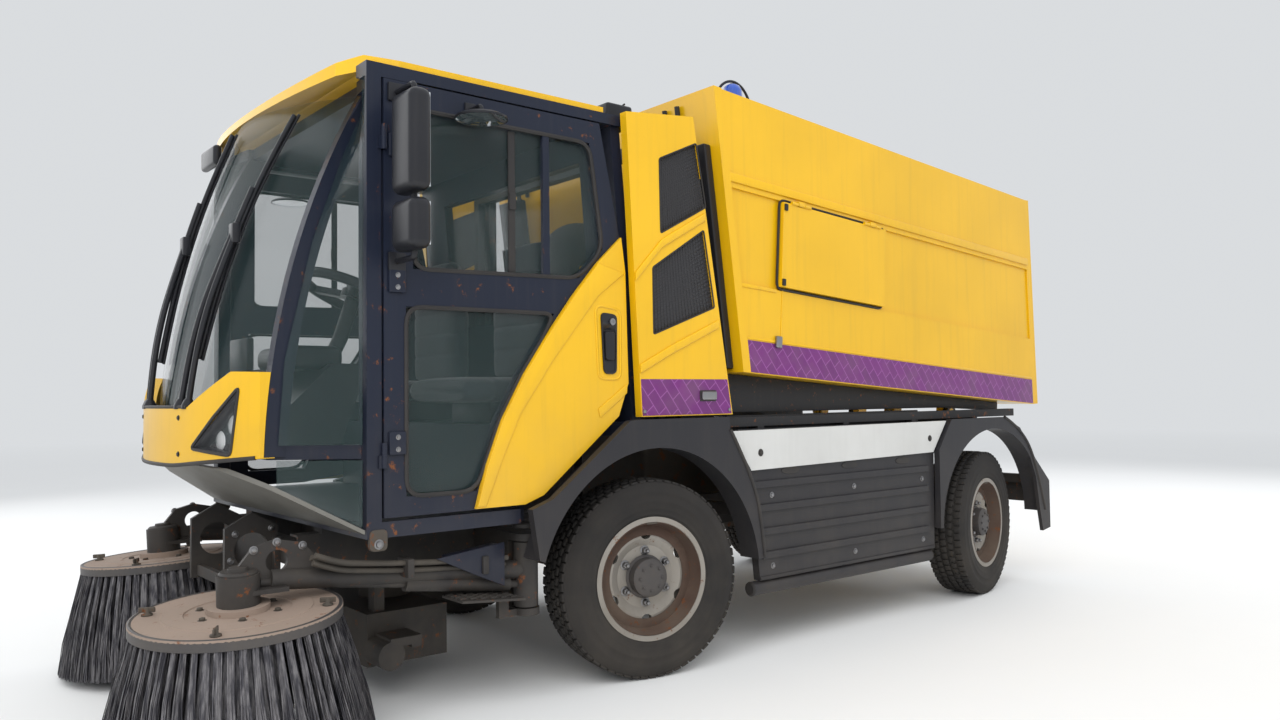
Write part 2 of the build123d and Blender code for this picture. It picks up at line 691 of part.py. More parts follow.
# Each wiper: x of its two pivots and of its arm's end, and the arm's end height
WIPERS = [(-200, -150, -60, 1640), (215, 265, 330, 1640)]
WIPER_FOOT_Z = 1066
WIPER_R = 8
WIPER_LIFT = 36
WIPER_BEND = 40
BLADE_R = 9
SPINDLE_CAP_R = 13
with BuildPart() as wipers:
    for inner_x, outer_x, end_x, end_z in WIPERS:
        for foot_x, lead in ((inner_x, 0), (outer_x, 14)):
            foot = on_screen(foot_x, WIPER_FOOT_Z, WIPER_LIFT)
            base_z = NOSE_CROWN[6][1] + SEAT_GAP
            rod((foot[0], foot[1], base_z), (foot[0], foot[1], base_z + 26), SPINDLE_CAP_R)
            route = [(foot[0], foot[1], base_z + 12)]
            for t in (0.3, 0.65, 1):
                x = foot_x + (end_x + lead - foot_x) * t
                route.append(on_screen(x, WIPER_FOOT_Z + (end_z - WIPER_FOOT_Z) * t, WIPER_LIFT))
            bent_tube(route, WIPER_R, WIPER_BEND)
        tip = on_screen(end_x + 7, end_z - 3, WIPER_LIFT + 14)
        rod(tip, on_screen(end_x + 7, end_z - 3, 17), 14)
        bent_tube([on_screen(end_x + 60 * t, end_z + 420 * t, 20) for t in (-1, 0, 1)], BLADE_R, 200)
save(wipers.part, "wipers")

# Seats, dashboard, column and steering wheel
with BuildPart() as cab_seats:
    for x in (-360, 360):
        block(x - 230, x + 230, -700, -260, 1060, 1160)
        block(x - 220, x + 220, -340, -240, 1160, 1700)
        block(x - 150, x + 150, -550, -300, SEAT_FLOOR_Z + FLOOR_T + SEAT_GAP, 1061)
save(cab_seats.part, "cab_seats")

WHEEL_HUB = (330, -1010, 1440)
with BuildPart() as dashboard:
    dash_front = -1345 + SEAT_GAP
    dash = [(dash_front, 890), (dash_front, 1040), (-1180, 1200), (-1090, 1200), (-1090, 1100), (-1150, 936)]
    side_prism(dash, -PILLAR_X + SEAT_GAP, PILLAR_X - SEAT_GAP)
    bent_tube([(330, -1120, 1180), (330, -1060, 1300), (330, -1012, 1445)], 26, 40)
    with BuildSketch(Plane(origin=spot(*WHEEL_HUB), z_dir=(0, 0.4, 0.92))) as rim_plan:
        Circle(205)
        Circle(178, mode=Mode.SUBTRACT)
        with PolarLocations(110, 3):
            Rectangle(150, 26)
        Circle(45)
    extrude(rim_plan.sketch, amount=24)
save(dashboard.part, "dashboard")

# Doors: frame with both windows cut, yellow panel, glass and mirrors on each
DOOR = [
    (DOOR_HINGE_Y, 702),
    (-786, 702),
    (-519, 738),
    (-171, 1002),
    (-122, 1110),
    (-110, 1128),
    (-150, 1680),
    (-242, 2112),
    (DOOR_HINGE_Y, 2112),
]
LOW_WINDOW = [(-1036, 765), (-779, 765), (-690, 1001), (-598, 1161), (-503, 1294), (-455, 1381), (-1036, 1378)]
HIGH_WINDOW = [(-1010, 1502), (-345, 1517), (-232, 1632), (-290, 2030), (-1010, 2030)]
DOOR_PANEL = [
    (-152, 1685),
    (-134, 1555),
    (-124, 1128),
    (-172, 1005),
    (-515, 733),
    (-593, 706),
    (-788, 706),
    (-748, 851),
    (-688, 1001),
    (-596, 1161),
    (-501, 1294),
    (-378, 1451),
    (-266, 1579),
]
PANEL_PROUD = 14
MIRROR_Z = [(1540, 1700), (1720, 2040)]

for hand, side in SIDES.items():
    with BuildPart() as door_frame:
        low, high = sorted((side * DOOR_IN_X, side * DOOR_X))
        side_prism(DOOR, low, high)
        side_prism(LOW_WINDOW, low, high, Mode.SUBTRACT)
        side_prism(HIGH_WINDOW, low, high, Mode.SUBTRACT)
        low, high = sorted((side * (DOOR_X - 24 + GLASS_T + SEAT_GAP), side * DOOR_X))
        side_prism([(-500, 1495), (-472, 1495), (-472, 2035), (-500, 2035)], low, high)
        for z in HINGE_Z:
            hinge_knuckle(side, z, SEAT_GAP, Mode.SUBTRACT)
            hinge_knuckle(side, z + HINGE_H + SEAT_GAP)
    save(door_frame.part, f"door_frame_{hand}")

    with BuildPart() as door_panel:
        low, high = sorted((side * DOOR_X, side * (DOOR_X + PANEL_PROUD)))
        side_prism(DOOR_PANEL, low, high)
    save(door_panel.part, f"door_panel_{hand}")

    with BuildPart() as door_glass:
        low, high = sorted((side * (DOOR_X - 24), side * (DOOR_X - 24 + GLASS_T)))
        side_prism(LOW_WINDOW, low, high)
        side_prism(HIGH_WINDOW, low, high)
    save(door_glass.part, f"door_glass_{hand}")

    with BuildPart() as mirrors:
        bent_tube(
            [
                (side * (DOOR_X + 0.3), -1070, 2070),
                (side * 930, -1070, 2070),
                (side * 930, -1070, 1520),
                (side * (DOOR_X + 0.3), -1070, 1520),
            ],
            9,
            40,
        )
        for z_low, z_high in MIRROR_Z:
            with BuildSketch(top_plane(z_low)) as shell:
                with Locations((side * 930, -1080)):
                    RectangleRounded(160, 80, 30)
            extrude(shell.sketch, amount=z_high - z_low)
        bent_tube([(side * (DOOR_X + 0.3), -800, 2060), (side * 880, -800, 2060), (side * 880, -800, 2015)], 8, 20)
        rod((side * 880, -800, 2000), (side * 880, -800, 2030), 90)
    save(mirrors.part, f"mirrors_{hand}")

# Kerb mirror under the visor's right corner
with BuildPart() as kerb_mirror:
    bent_tube([(-480, -1190, 2141.8), (-480, -1190, 2100), (-480, -1262, 2085)], 8, 20)
    block(-580, -390, -1290, -1255, 2035, 2120)
save(kerb_mirror.part, "kerb_mirror")

# Side skirts with pressed ribs and the guard tubes under them
SKIRT = [(442, 935), (1960, 935), (1846, 770), (1836, 295), (560, 295), (548, 400), (520, 640)]
SKIRT_X = (800.3, 838)
RIB_ROWS = [(700, 520, 1780), (600, 550, 1780), (500, 560, 1780), (400, 570, 1780)]
GUARD_R = 30
with BuildPart() as side_skirts:
    for side in (1, -1):
        low, high = sorted((side * SKIRT_X[0], side * SKIRT_X[1]))
        side_prism(SKIRT, low, high)
        for z, start, end in RIB_ROWS:
            low, high = sorted((side * (SKIRT_X[1] - 1), side * (SKIRT_X[1] + 12)))
            block(low, high, start, end, z - 14, z + 14)
        rod((side * 815, 525, 262), (side * 815, 1811, 262), GUARD_R)
        for y in (640, 1180, 1700):
            low, high = sorted((side * 805, side * 825))
            block(low, high, y - 20, y + 20, 270, 300)
save(side_skirts.part, "side_skirts")

PLATE = [(376, 930), (1945, 935), (1823, 780), (495, 762)]
with BuildPart() as skirt_plates:
    for side in (1, -1):
        low, high = sorted((side * SKIRT_X[1], side * (SKIRT_X[1] + 14)))
        side_prism(PLATE, low, high)
save(skirt_plates.part, "skirt_plates")

# Wheel arches: curved bands over the wheels, the rear ones with a tail panel and mudflap
ARCH_X = (762, 870)
STAY_X = 785
STAY_Z = 575
STAY_R = 12
STAYS = [
    (480, OUTRIGGER_Y[0] - OUTRIGGER_HALF - SEAT_GAP),
    (OUTRIGGER_Y[2] + OUTRIGGER_HALF + SEAT_GAP, 1895),
]


# Skin of each fender, which fills the side above the wheel's opening up to door, cowl and plate
FRONT_OPENING = [(-549, 505), (-15, 880), (520, 395)]
REAR_OPENING = [(1875, 395), (2320, 880), (2860, 400)]
FRONT_SKIN = [(556, 395), (548, 500), (535, 600), (505, 716), (481, 768), (364, 938), (360, 990), (-130, 990)]
FRONT_SKIN += [(-163, 986), (-512, 722), (-600, 692), (-571, 515)]
REAR_SKIN = [(2895, 400), (2800, 700), (2640, 880), (2480, 942), (1966, 942), (1850, 790), (1850, 395)]
SKIN_X = (838.3, 870)


def fender_skin(opening, edge, x_low, x_high):
    """Extrude the face between a wheel opening's arc and the fender's straight-sided edge."""
    with BuildSketch(side_plane(x_low)) as face:
        with BuildLine():
            ThreePointArc(*opening)
            Polyline(opening[2], *edge, opening[0])
        make_face()
    extrude(face.sketch, amount=x_high - x_low)


def arch_band(outer, inner, x_low, x_high):
    """Extrude the band between two three-point arcs in side view."""
    with BuildSketch(side_plane(x_low)) as band:
        with BuildLine():
            ThreePointArc(*outer)
            Line(outer[2], inner[2])
            ThreePointArc(*reversed(inner))
            Line(inner[0], outer[0])
        make_face()
    extrude(band.sketch, amount=x_high - x_low)


with BuildPart() as wheel_arches:
    for side in (1, -1):
        low, high = sorted((side * ARCH_X[0], side * ARCH_X[1]))
        arch_band([(-571, 515), (-20, 905), (545, 400)], FRONT_OPENING, low, high)
        arch_band([(1850, 400), (2320, 905), (2890, 400)], REAR_OPENING, low, high)
        low, high = sorted((side * SKIN_X[0], side * SKIN_X[1]))
        fender_skin(FRONT_OPENING, FRONT_SKIN, low, high)
        fender_skin(REAR_OPENING, REAR_SKIN, low, high)
        for start, end in STAYS:
            rod((side * STAY_X, start, STAY_Z), (side * STAY_X, end, STAY_Z), STAY_R)
        tail = [(2700, 790), (2949, 567), (2949, 300), (2866, 287), (2840, 400), (2800, 600)]
        low, high = sorted((side * (ARCH_X[1] - 20), side * ARCH_X[1]))
        side_prism(tail, low, high)
save(wheel_arches.part, "wheel_arches")

# Cowls between cab and hopper with their two grilles
COWL = [(-150, 2165), (200, 2205), (400, 1000), (-88, 1000)]
COWL_X = (812, 848)
GRILLES = [
    [(15, 2008), (214, 2099), (263, 1843), (18, 1714)],
    [(-25, 1577), (250, 1749), (305, 1437), (-24, 1317)],
]
with BuildPart() as cowl_panels:
    for side in (1, -1):
        low, high = sorted((side * COWL_X[0], side * COWL_X[1]))
        side_prism(COWL, low, high)
        for grille in GRILLES:
            side_prism(grille, low, high, Mode.SUBTRACT)
save(cowl_panels.part, "cowl_panels")

# Frame behind the cab that carries the cowls, and the pipes that rise along it
COWL_POST_Y = (150, 200)
PIPE_Y = 190
PIPE_R = 19
with BuildPart() as cowl_frame:
    pair(770, COWL_X[0] - SEAT_GAP, *COWL_POST_Y, DECK_Z - 10, 2150)
    pair(770, DECK_OUT_X, COWL_POST_Y[0], DECK_FRONT - SEAT_GAP, DECK_Z - 10, DECK_Z + 30)
    block(-771, 771, *COWL_POST_Y, 2100, 2150)
    pair(650, 771, *COWL_POST_Y, 950, 990)
    for side in (1, -1):
        for x in (690, 735):
            rod((side * x, PIPE_Y, 960), (side * x, PIPE_Y, 2110), PIPE_R)
save(cowl_frame.part, "cowl_frame")

with BuildPart() as cowl_grilles:
    for side in (1, -1):
        low, high = sorted((side * (COWL_X[1] - 18), side * (COWL_X[1] - 10)))
        for grille in GRILLES:
            side_prism(grille, low, high)
save(cowl_grilles.part, "cowl_grilles")

# Suction duct from the nozzle up behind the cab to the hopper's mouth
NOZZLE_Z = (110, 300)
DUCT_R = 100
DUCT_WALL = 8
DUCT_BEND = 130
DUCT_ROUTE = [
    (0, -740, NOZZLE_Z[1] + SEAT_GAP),
    (0, -740, 400),
    (0, -440, 575),
    (0, 60, 650),
    (0, 120, 1000),
    (0, 120, 1800),
    (0, 262, 1800),
]
with BuildPart() as suction_duct:
    bent_tube(DUCT_ROUTE, DUCT_R, [110, DUCT_BEND, DUCT_BEND, DUCT_BEND, DUCT_BEND], DUCT_R - DUCT_WALL)
save(suction_duct.part, "suction_duct")

# Suction nozzle with its guide wheels
with BuildPart() as suction_nozzle:
    block(-330, 330, -960, -640, *NOZZLE_Z)
    block(-310, 310, -940, -660, NOZZLE_Z[0] - 1, NOZZLE_Z[1] - 20, Mode.SUBTRACT)
    mouth = DUCT_ROUTE[0]
    rod((0, mouth[1], NOZZLE_Z[1] - 30), mouth, DUCT_R - DUCT_WALL, Mode.SUBTRACT)
    for side in (1, -1):
        low, high = sorted((side * 330, side * 460))
        block(low, high, -850, -810, 190, 230)
        rod((low, -926, 170), (high, -926, 170), 50)
        block(low, high, -930, -810, 200, 230)
    pair(250, 300, -920, -880, NOZZLE_Z[1] - 1, CROSS_Z[0] - SEAT_GAP)
save(suction_nozzle.part, "suction_nozzle")

# Front carrier: two plates with a large hole, cross tube and a pierced step
CARRIER_BORE_R = 60
with BuildPart() as front_carrier:
    for side in (1, -1):
        low, high = sorted((side * 190, side * 210))
        side_prism([(-1420, 420), (-1420, 640), (-1330, 690), (-1241, 640), (-1241, 420)], low, high)
    rod((-250, -1330, 560), (250, -1330, 560), CARRIER_BORE_R, Mode.SUBTRACT)
    block(-240, 240, -1290, -1241, 430, 475)
    block(-200, 200, -1400, -1380, 430, 470)
    block(-240, 240, -1260, -1240.3, 475, 600)
save(front_carrier.part, "front_carrier")

# Brush arms, plates and bristles. The lift ram's rows are its start and end along the arm and its radius.
LIFT_RAM = [(0, 1, 14), (0.08, 0.5, 26)]
HEAD_PLATE = [(-20, 505), (-20, 560), (40, 634), (110, 652), (190, 634), (260, 560), (260, 505)]
HEAD_HOLE_R = 34
for hand, side in SIDES.items():
    px, py = ARM_PIVOT
    by = BRUSH_Y[hand]
    run = Vector(side * (BRUSH_X - px), by - py, 0)
    length = run.length
    tilt = Plane(origin=spot(side * BRUSH_X, by, BRUSH_Z), z_dir=(side * 0.046, -0.042, 1))
    with BuildPart() as brush_arm:
        rod((side * px, py, POST_Z[0]), (side * px, py, POST_Z[1]), ARM_PIN_R)
        rod((side * px, py, POST_Z[0] + LUG_T + 5), (side * px, py, POST_Z[1] - LUG_T - 5), 44)
        ux = run.X / length
        uy = run.Y / length
        rod((side * px, py, 460), (side * px + ux * (length - 90), py + uy * (length - 90), 530), 32)
        for start, end, radius in LIFT_RAM:
            ends = [t * (length - 60) for t in (start, end)]
            rod(*[(side * px + ux * d, py + uy * d, 405 + 120 * d / (length - 60)) for d in ends], radius)
        with BuildSketch(tilt.offset(BRUSH_HUB_TOP + SEAT_GAP)):
            Circle(62)
        extrude(amount=92)
        side_x = side * BRUSH_X
        block(side_x - 60, side_x + 60, by - 10, by + 130, 498, 512)
        side_prism([(by + y, z) for y, z in HEAD_PLATE], side_x - 8, side_x + 8)
        rod((side_x - 9, by + 110, 585), (side_x + 9, by + 110, 585), HEAD_HOLE_R, Mode.SUBTRACT)
    save(brush_arm.part, f"brush_arm_{hand}")

    with BuildPart() as brush_plate:
        with BuildSketch(tilt.offset(-20)):
            Circle(BRUSH_R)
        extrude(amount=26)
        with BuildSketch(tilt.offset(5)):
            Circle(90)
        extrude(amount=BRUSH_HUB_TOP - 5)
    save(brush_plate.part, f"brush_plate_{hand}")

    with BuildPart() as bristles:
        with BuildSketch(Plane(origin=tilt.origin, x_dir=tilt.x_dir, z_dir=tilt.y_dir * -1)) as fan:
            with BuildLine():
                Polyline(
                    (200, -20.3),
                    (BRUSH_R - 8, -20.3),
                    (BRISTLE_R, -BRISTLE_DROP),
                    (BRISTLE_R - 110, -BRISTLE_DROP),
                    close=True,
                )
            make_face()
        revolve(fan.sketch, axis=Axis(tilt.origin, tilt.z_dir))
    save(bristles.part, f"brush_bristles_{hand}")


# Hopper, drawn lowered and then raised about its pivot to the tip that it stands at
def raised(part):
    """Turn a hopper piece about the rear pivot to its standing tip."""
    pivot = Axis(spot(0, *HOPPER_PIVOT), (1, 0, 0))
    return part.rotate(pivot, -HOPPER_TIP)


RAM_X = 270
RAM_HEAD = (2300, 950)
RAM_EYE_R = 34
RAM_EYE_HALF = 20
EAR_GAP = 2
EAR_T = 14
HOPPER = [(449, HOPPER_FLOOR_Z), (217, HOPPER_TOP_Z), (2700, HOPPER_TOP_Z), (2830, HOPPER_FLOOR_Z)]
FRONT_EDGE = [(449, HOPPER_FLOOR_Z), (217, HOPPER_TOP_Z), (262, HOPPER_TOP_Z), (494, HOPPER_FLOOR_Z)]
FRONT_EDGE_PROUD = 8
DOOR_AXIS = (2727, 2200)
DOOR_HINGE_R = 12
DOOR_HINGE_ROWS = (-600, 0, 600)
HATCH_AXIS = (HOPPER_X + 24, 1775)
HATCH_HINGE_R = 7
HATCH_HINGE_ROWS = (760, 1270)
HOPPER_CAVITY = [
    (449 + 26, HOPPER_FLOOR_Z + HOPPER_WALL),
    (217 + 36, HOPPER_TOP_Z - HOPPER_WALL),
    (2760, HOPPER_TOP_Z - HOPPER_WALL),
    (2900, HOPPER_FLOOR_Z + HOPPER_WALL),
]
with BuildPart() as hopper_body:
    side_prism(HOPPER, -HOPPER_X + 12, HOPPER_X - 12)
    inner_x = HOPPER_X - 12 - HOPPER_WALL
    side_prism(HOPPER_CAVITY, -inner_x, inner_x, Mode.SUBTRACT)
    for side in (1, -1):
        low, high = sorted((side * (HOPPER_X - 13), side * HOPPER_X))
        side_prism([(297, 1781), (217, HOPPER_TOP_Z), (2700, HOPPER_TOP_Z), (2744, 1781)], low, high)
        side_prism([(449, HOPPER_FLOOR_Z), (400, 1385), (2788, 1385), (2830, HOPPER_FLOOR_Z)], low, high)
        low, high = sorted((side * (HOPPER_X - 13), side * (HOPPER_X + FRONT_EDGE_PROUD)))
        side_prism(FRONT_EDGE, low, high)
    rod((0, 100, 1830), (0, 400, 1830), DUCT_R + 5, Mode.SUBTRACT)
    # The fixed halves of the hinges of the rear door and of the hatches
    axis_y, axis_z = DOOR_AXIS
    for x in DOOR_HINGE_ROWS:
        block(x - 30, x + 30, axis_y - 77, axis_y - 35, HOPPER_TOP_Z - 1, axis_z + 10)
        block(x - 30, x + 30, axis_y - 77, axis_y, axis_z - 10, axis_z + 10)
        rod((x - 30, axis_y, axis_z), (x + 30, axis_y, axis_z), DOOR_HINGE_R)
    axis_x, axis_z = HATCH_AXIS
    for side in (1, -1):
        low, high = sorted((side * (HOPPER_X - 1), side * (axis_x + 5)))
        for y in HATCH_HINGE_ROWS:
            block(low, high, y - 20, y + 20, axis_z + 2, axis_z + 15)
            rod((side * axis_x, y - 20, axis_z), (side * axis_x, y + 20, axis_z), HATCH_HINGE_R)
    # Pivot ears and ram ears under the floor
    pivot_y, pivot_z = HOPPER_PIVOT
    for side in (1, -1):
        low, high = sorted((side * 290, side * 335))
        block(low, high, pivot_y - 40, pivot_y + 40, pivot_z, HOPPER_FLOOR_Z + 2)
        rod((low, pivot_y, pivot_z), (high, pivot_y, pivot_z), 40)
        rod((side * 290, pivot_y, pivot_z), (side * TOWER_X[1], pivot_y, pivot_z), PIVOT_R)
        for inner in (RAM_X - RAM_EYE_HALF - EAR_GAP - EAR_T, RAM_X + RAM_EYE_HALF + EAR_GAP):
            low, high = sorted((side * inner, side * (inner + EAR_T)))
            head_y, head_z = RAM_HEAD
            block(low, high, head_y - RAM_EYE_R, head_y + RAM_EYE_R, head_z, HOPPER_FLOOR_Z + 2)
            rod((low, head_y, head_z), (high, head_y, head_z), RAM_EYE_R)
save(raised(hopper_body.part), "hopper_body")

for hand, side in SIDES.items():
    with BuildPart() as hatch:
        low, high = sorted((side * (HOPPER_X - 12 + SEAT_GAP), side * (HOPPER_X + HATCH_PROUD)))
        side_prism([(650, 1400), (650, 1772), (1380, 1772), (1380, 1400)], low, high)
        x, z = HATCH_AXIS[0] * side, HATCH_AXIS[1]
        for y in HATCH_HINGE_ROWS:
            rod((x, y - 23, z), (x, y + 23, z), HATCH_HINGE_R + 2, Mode.SUBTRACT)
            for start in (y - 63, y + 23):
                rod((x, start, z), (x, start + 40, z), HATCH_HINGE_R)
    save(raised(hatch.part), f"hopper_hatch_{hand}")

with BuildPart() as hopper_door:
    side_prism(
        [
            (2830 + SEAT_GAP, HOPPER_FLOOR_Z),
            (2700 + SEAT_GAP, HOPPER_TOP_Z),
            (2752, HOPPER_TOP_Z + 6),
            (2882, HOPPER_FLOOR_Z + 6),
        ],
        -HOPPER_X + 4,
        HOPPER_X - 4,
    )
    axis_y, axis_z = DOOR_AXIS
    for row in DOOR_HINGE_ROWS:
        for x in (row - 75, row + 35):
            block(x, x + 40, axis_y - DOOR_HINGE_R, axis_y + DOOR_HINGE_R, HOPPER_TOP_Z - 2, axis_z)
            rod((x, axis_y, axis_z), (x + 40, axis_y, axis_z), DOOR_HINGE_R)
save(raised(hopper_door.part), "hopper_door")

with BuildPart() as hopper_fittings:
    foot_z = HOPPER_TOP_Z + SEAT_GAP
    hoop_z = HOPPER_TOP_Z + 130
    rod((700, 490, foot_z), (700, 490, foot_z + 90), 45)
    bent_tube([(700, 380, foot_z), (700, 380, hoop_z), (700, 600, hoop_z), (700, 600, foot_z)], 8, 60)
save(raised(hopper_fittings.part), "hopper_fittings")

# Tipping rams: barrels pinned at their feet and rods whose eyes sit under the hopper


def tipped(point, angle):
    """Move a (y, z) point of the lowered hopper to a tip angle."""
    pivot_y, pivot_z = HOPPER_PIVOT
    dy = point[0] - pivot_y
    dz = point[1] - pivot_z
    turn = radians(angle)
    return (pivot_y + dy * cos(turn) + dz * sin(turn), pivot_z + dz * cos(turn) - dy * sin(turn))


ram_head = tipped(RAM_HEAD, HOPPER_TIP)
ram_dy = ram_head[0] - RAM_FOOT[0]
ram_dz = ram_head[1] - RAM_FOOT[1]
ram_length = hypot(ram_dy, ram_dz)
ram_dir = (ram_dy / ram_length, ram_dz / ram_length)
BARREL_R = 40
RAM_ROD_R = 20
BARREL_LENGTH = 600
ROD_START = 100


def along_ram(x, distance):
    """Point on a ram's line at a distance from its foot."""
    return (x, RAM_FOOT[0] + ram_dir[0] * distance, RAM_FOOT[1] + ram_dir[1] * distance)


with BuildPart() as ram_barrels:
    for x in (-RAM_X, RAM_X):
        rod((x - 22, *RAM_FOOT), (x + 22, *RAM_FOOT), 38)
        rod(along_ram(x, 30), along_ram(x, BARREL_LENGTH), BARREL_R)
        rod((x - 30, *RAM_FOOT), (x + 30, *RAM_FOOT), RAM_PIN_R + PIN_GAP, Mode.SUBTRACT)
        rod(along_ram(x, 60), along_ram(x, BARREL_LENGTH + 1), RAM_ROD_R + PIN_GAP, Mode.SUBTRACT)
save(ram_barrels.part, "ram_barrels")

with BuildPart() as ram_rods:
    for x in (-RAM_X, RAM_X):
        rod(along_ram(x, ROD_START), along_ram(x, ram_length), RAM_ROD_R)
        rod((x - RAM_EYE_HALF, *ram_head), (x + RAM_EYE_HALF, *ram_head), RAM_EYE_R)
save(ram_rods.part, "ram_rods")

# Rear bumper with a drilled towing plate, and the tail lamps
TOW_HOLE_R = 9
with BuildPart() as rear_bumper:
    block(-840, 840, 2926, 2986, 440, 560)
    pair(RAIL_X - RAIL_W, RAIL_X, RAIL_REAR + SEAT_GAP, 2927, 490, 555)
    prism(front_plane(3000), [(-110, 450), (110, 450), (110, 550), (-110, 550)], 15)
    with BuildSketch(front_plane(3001)) as tow_holes:
        with Locations((0, 500)):
            with GridLocations(140, 60, 2, 2):
                Circle(TOW_HOLE_R)
    extrude(tow_holes.sketch, amount=100, mode=Mode.SUBTRACT)
save(rear_bumper.part, "rear_bumper")

with BuildPart() as tail_lamps:
    for side in (1, -1):
        low, high = sorted((side * 640, side * 820))
        block(low, high, 2986, 3000, 455, 545)
save(tail_lamps.part, "tail_lamps")
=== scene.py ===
"""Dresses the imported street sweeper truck: finishes, trim and small parts, studio and camera."""

import math

import bpy
import numpy as np
from mathutils import Matrix, Vector


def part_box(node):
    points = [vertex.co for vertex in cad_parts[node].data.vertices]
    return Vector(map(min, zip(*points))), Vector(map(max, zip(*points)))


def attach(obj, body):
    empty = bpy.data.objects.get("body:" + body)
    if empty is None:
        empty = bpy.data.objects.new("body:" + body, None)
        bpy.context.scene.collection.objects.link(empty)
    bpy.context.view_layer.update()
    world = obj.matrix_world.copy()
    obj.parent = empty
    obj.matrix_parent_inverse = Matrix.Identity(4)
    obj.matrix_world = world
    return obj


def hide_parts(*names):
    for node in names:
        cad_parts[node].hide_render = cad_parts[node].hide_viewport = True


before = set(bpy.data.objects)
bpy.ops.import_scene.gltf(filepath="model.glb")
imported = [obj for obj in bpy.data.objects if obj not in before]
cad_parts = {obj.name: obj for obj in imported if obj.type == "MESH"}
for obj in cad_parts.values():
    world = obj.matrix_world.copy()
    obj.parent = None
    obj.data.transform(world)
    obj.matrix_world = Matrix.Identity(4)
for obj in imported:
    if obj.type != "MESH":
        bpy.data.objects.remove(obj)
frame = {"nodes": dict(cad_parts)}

bl_info = {
    "name": "Street Sweeper Dressing",
    "version": (1, 0, 0),
    "blender": (4, 5, 0),
    "location": "View3D > Sidebar > Sweeper",
    "description": "Finishes and small parts for a compact street sweeper truck",
    "category": "Object",
}

# Every y that is named from the front axle is shifted by this to the frame's own origin
AXLE_Y = (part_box("front_axle")[0].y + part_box("front_axle")[1].y) / 2
WHEELBASE = (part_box("rear_axle")[0].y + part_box("rear_axle")[1].y) / 2 - AXLE_Y
KINGPIN_X = 0.680
WHEEL_OFFSET = 0.064
STUD_R = 0.100
CAP_SCREW_R = 0.048
TYRE_R = 0.380
STEER = {"front_left": -11.9, "front_right": -11.9, "rear_left": 10.9, "rear_right": 10.9}
BRUSHES = {"left": (0.652, -1.510), "right": (-0.652, -1.401)}
BRUSH_Z = 0.444
BRISTLE_RINGS = 4
TUFT_WIRES = 28
# Top and foot of the innermost ring, its wires' three sides in radians, and how far any wire reaches
BRISTLE_TOP_R, BRISTLE_TOP_Z = 0.214, -0.020
BRISTLE_FOOT_R, BRISTLE_FOOT_Z = 0.290, -0.404
WIRE_SIDES = (0, 2.094, 4.189)
BRISTLE_REACH = 0.392
DISC_BOLT_R = 0.120
WING_BOLT_R = 0.258
HANDS = {"left": 1, "right": -1}
TIP_PIVOT = Vector((0, AXLE_Y + 2.750, 0.960))
TIP = math.radians(4)

WIPERS = [(-0.200, -0.150, -0.060, 1.640), (0.215, 0.265, 0.330, 1.640)]
WIPER_FOOT_Z = 1.066
SEAT_X = {"right": -0.360, "left": 0.360}
ARM_PIVOT = (0.700, -0.520)
MIRRORS = [(1.540, 1.700), (1.720, 2.040)]
MIRROR_ARM = [(0.801, 2.070), (0.930, 2.070), (0.930, 1.520), (0.801, 1.520)]
TOP_MIRROR_ARM = [(0.801, 2.060), (0.880, 2.060), (0.880, 2.020)]
LAMP_POCKET = [(0.313, 0.925), (0.532, 1.123), (0.500, 0.905)]
LAMP_LINER = [(0.317, 0.9265), (0.530, 1.119), (0.499, 0.907)], [
    (0.325, 0.9295), (0.5265, 1.1115), (0.4965, 0.911)
]
# Outlines of the sides as (y from the front axle, z)
LOW_WINDOW = [
    (-1.036, 0.765), (-0.779, 0.765), (-0.690, 1.001), (-0.598, 1.161), (-0.503, 1.294), (-0.455, 1.381),
    (-1.036, 1.378),
]  # fmt: skip
HIGH_WINDOW = [(-1.010, 1.502), (-0.345, 1.517), (-0.232, 1.632), (-0.290, 2.030), (-1.010, 2.030)]
WINDOW_EDGE = [
    (-0.266, 1.577), (-0.376, 1.450), (-0.499, 1.293), (-0.594, 1.160), (-0.686, 1.000), (-0.745, 0.851),
    (-0.785, 0.712),
]  # fmt: skip
DOOR_CREASE = [
    (-0.141, 1.548), (-0.267, 1.455), (-0.472, 1.213), (-0.613, 1.022), (-0.690, 0.860), (-0.752, 0.712)
]
HANDLE_RECESS = [(-0.258, 1.395), (-0.180, 1.388), (-0.184, 1.163), (-0.246, 1.163)]
HANDLE_RING = [(-0.279, 1.420), (-0.160, 1.408), (-0.163, 1.144), (-0.267, 1.144)]
COWL_RIDGES = [
    [(-0.114, 1.551), (0.021, 1.691), (0.255, 1.820)],
    [(-0.095, 1.200), (0.063, 1.276), (0.325, 1.388)],
]
GRILLES = [
    [(0.015, 2.008), (0.214, 2.099), (0.263, 1.843), (0.018, 1.714)],
    [(-0.025, 1.577), (0.250, 1.749), (0.305, 1.437), (-0.024, 1.317)],
]
# How far the outer faces of the sides stand from the middle, and the nose from the screen's axis
DOOR_FRAME_X = 0.7985
DOOR_PANEL_X = 0.8135
SKIRT_X = 0.8375
HANDLE_X = 0.8165
NOSE_R = 1.190
COWL_X = 0.8475
HOPPER_X = 0.8495
ARCH_X = 0.8695
HINGE_Z = (0.900, 1.420, 1.860)
HATCH_EDGE = [(0.642, 1.392), (0.642, 1.784), (1.388, 1.784), (1.388, 1.392)]
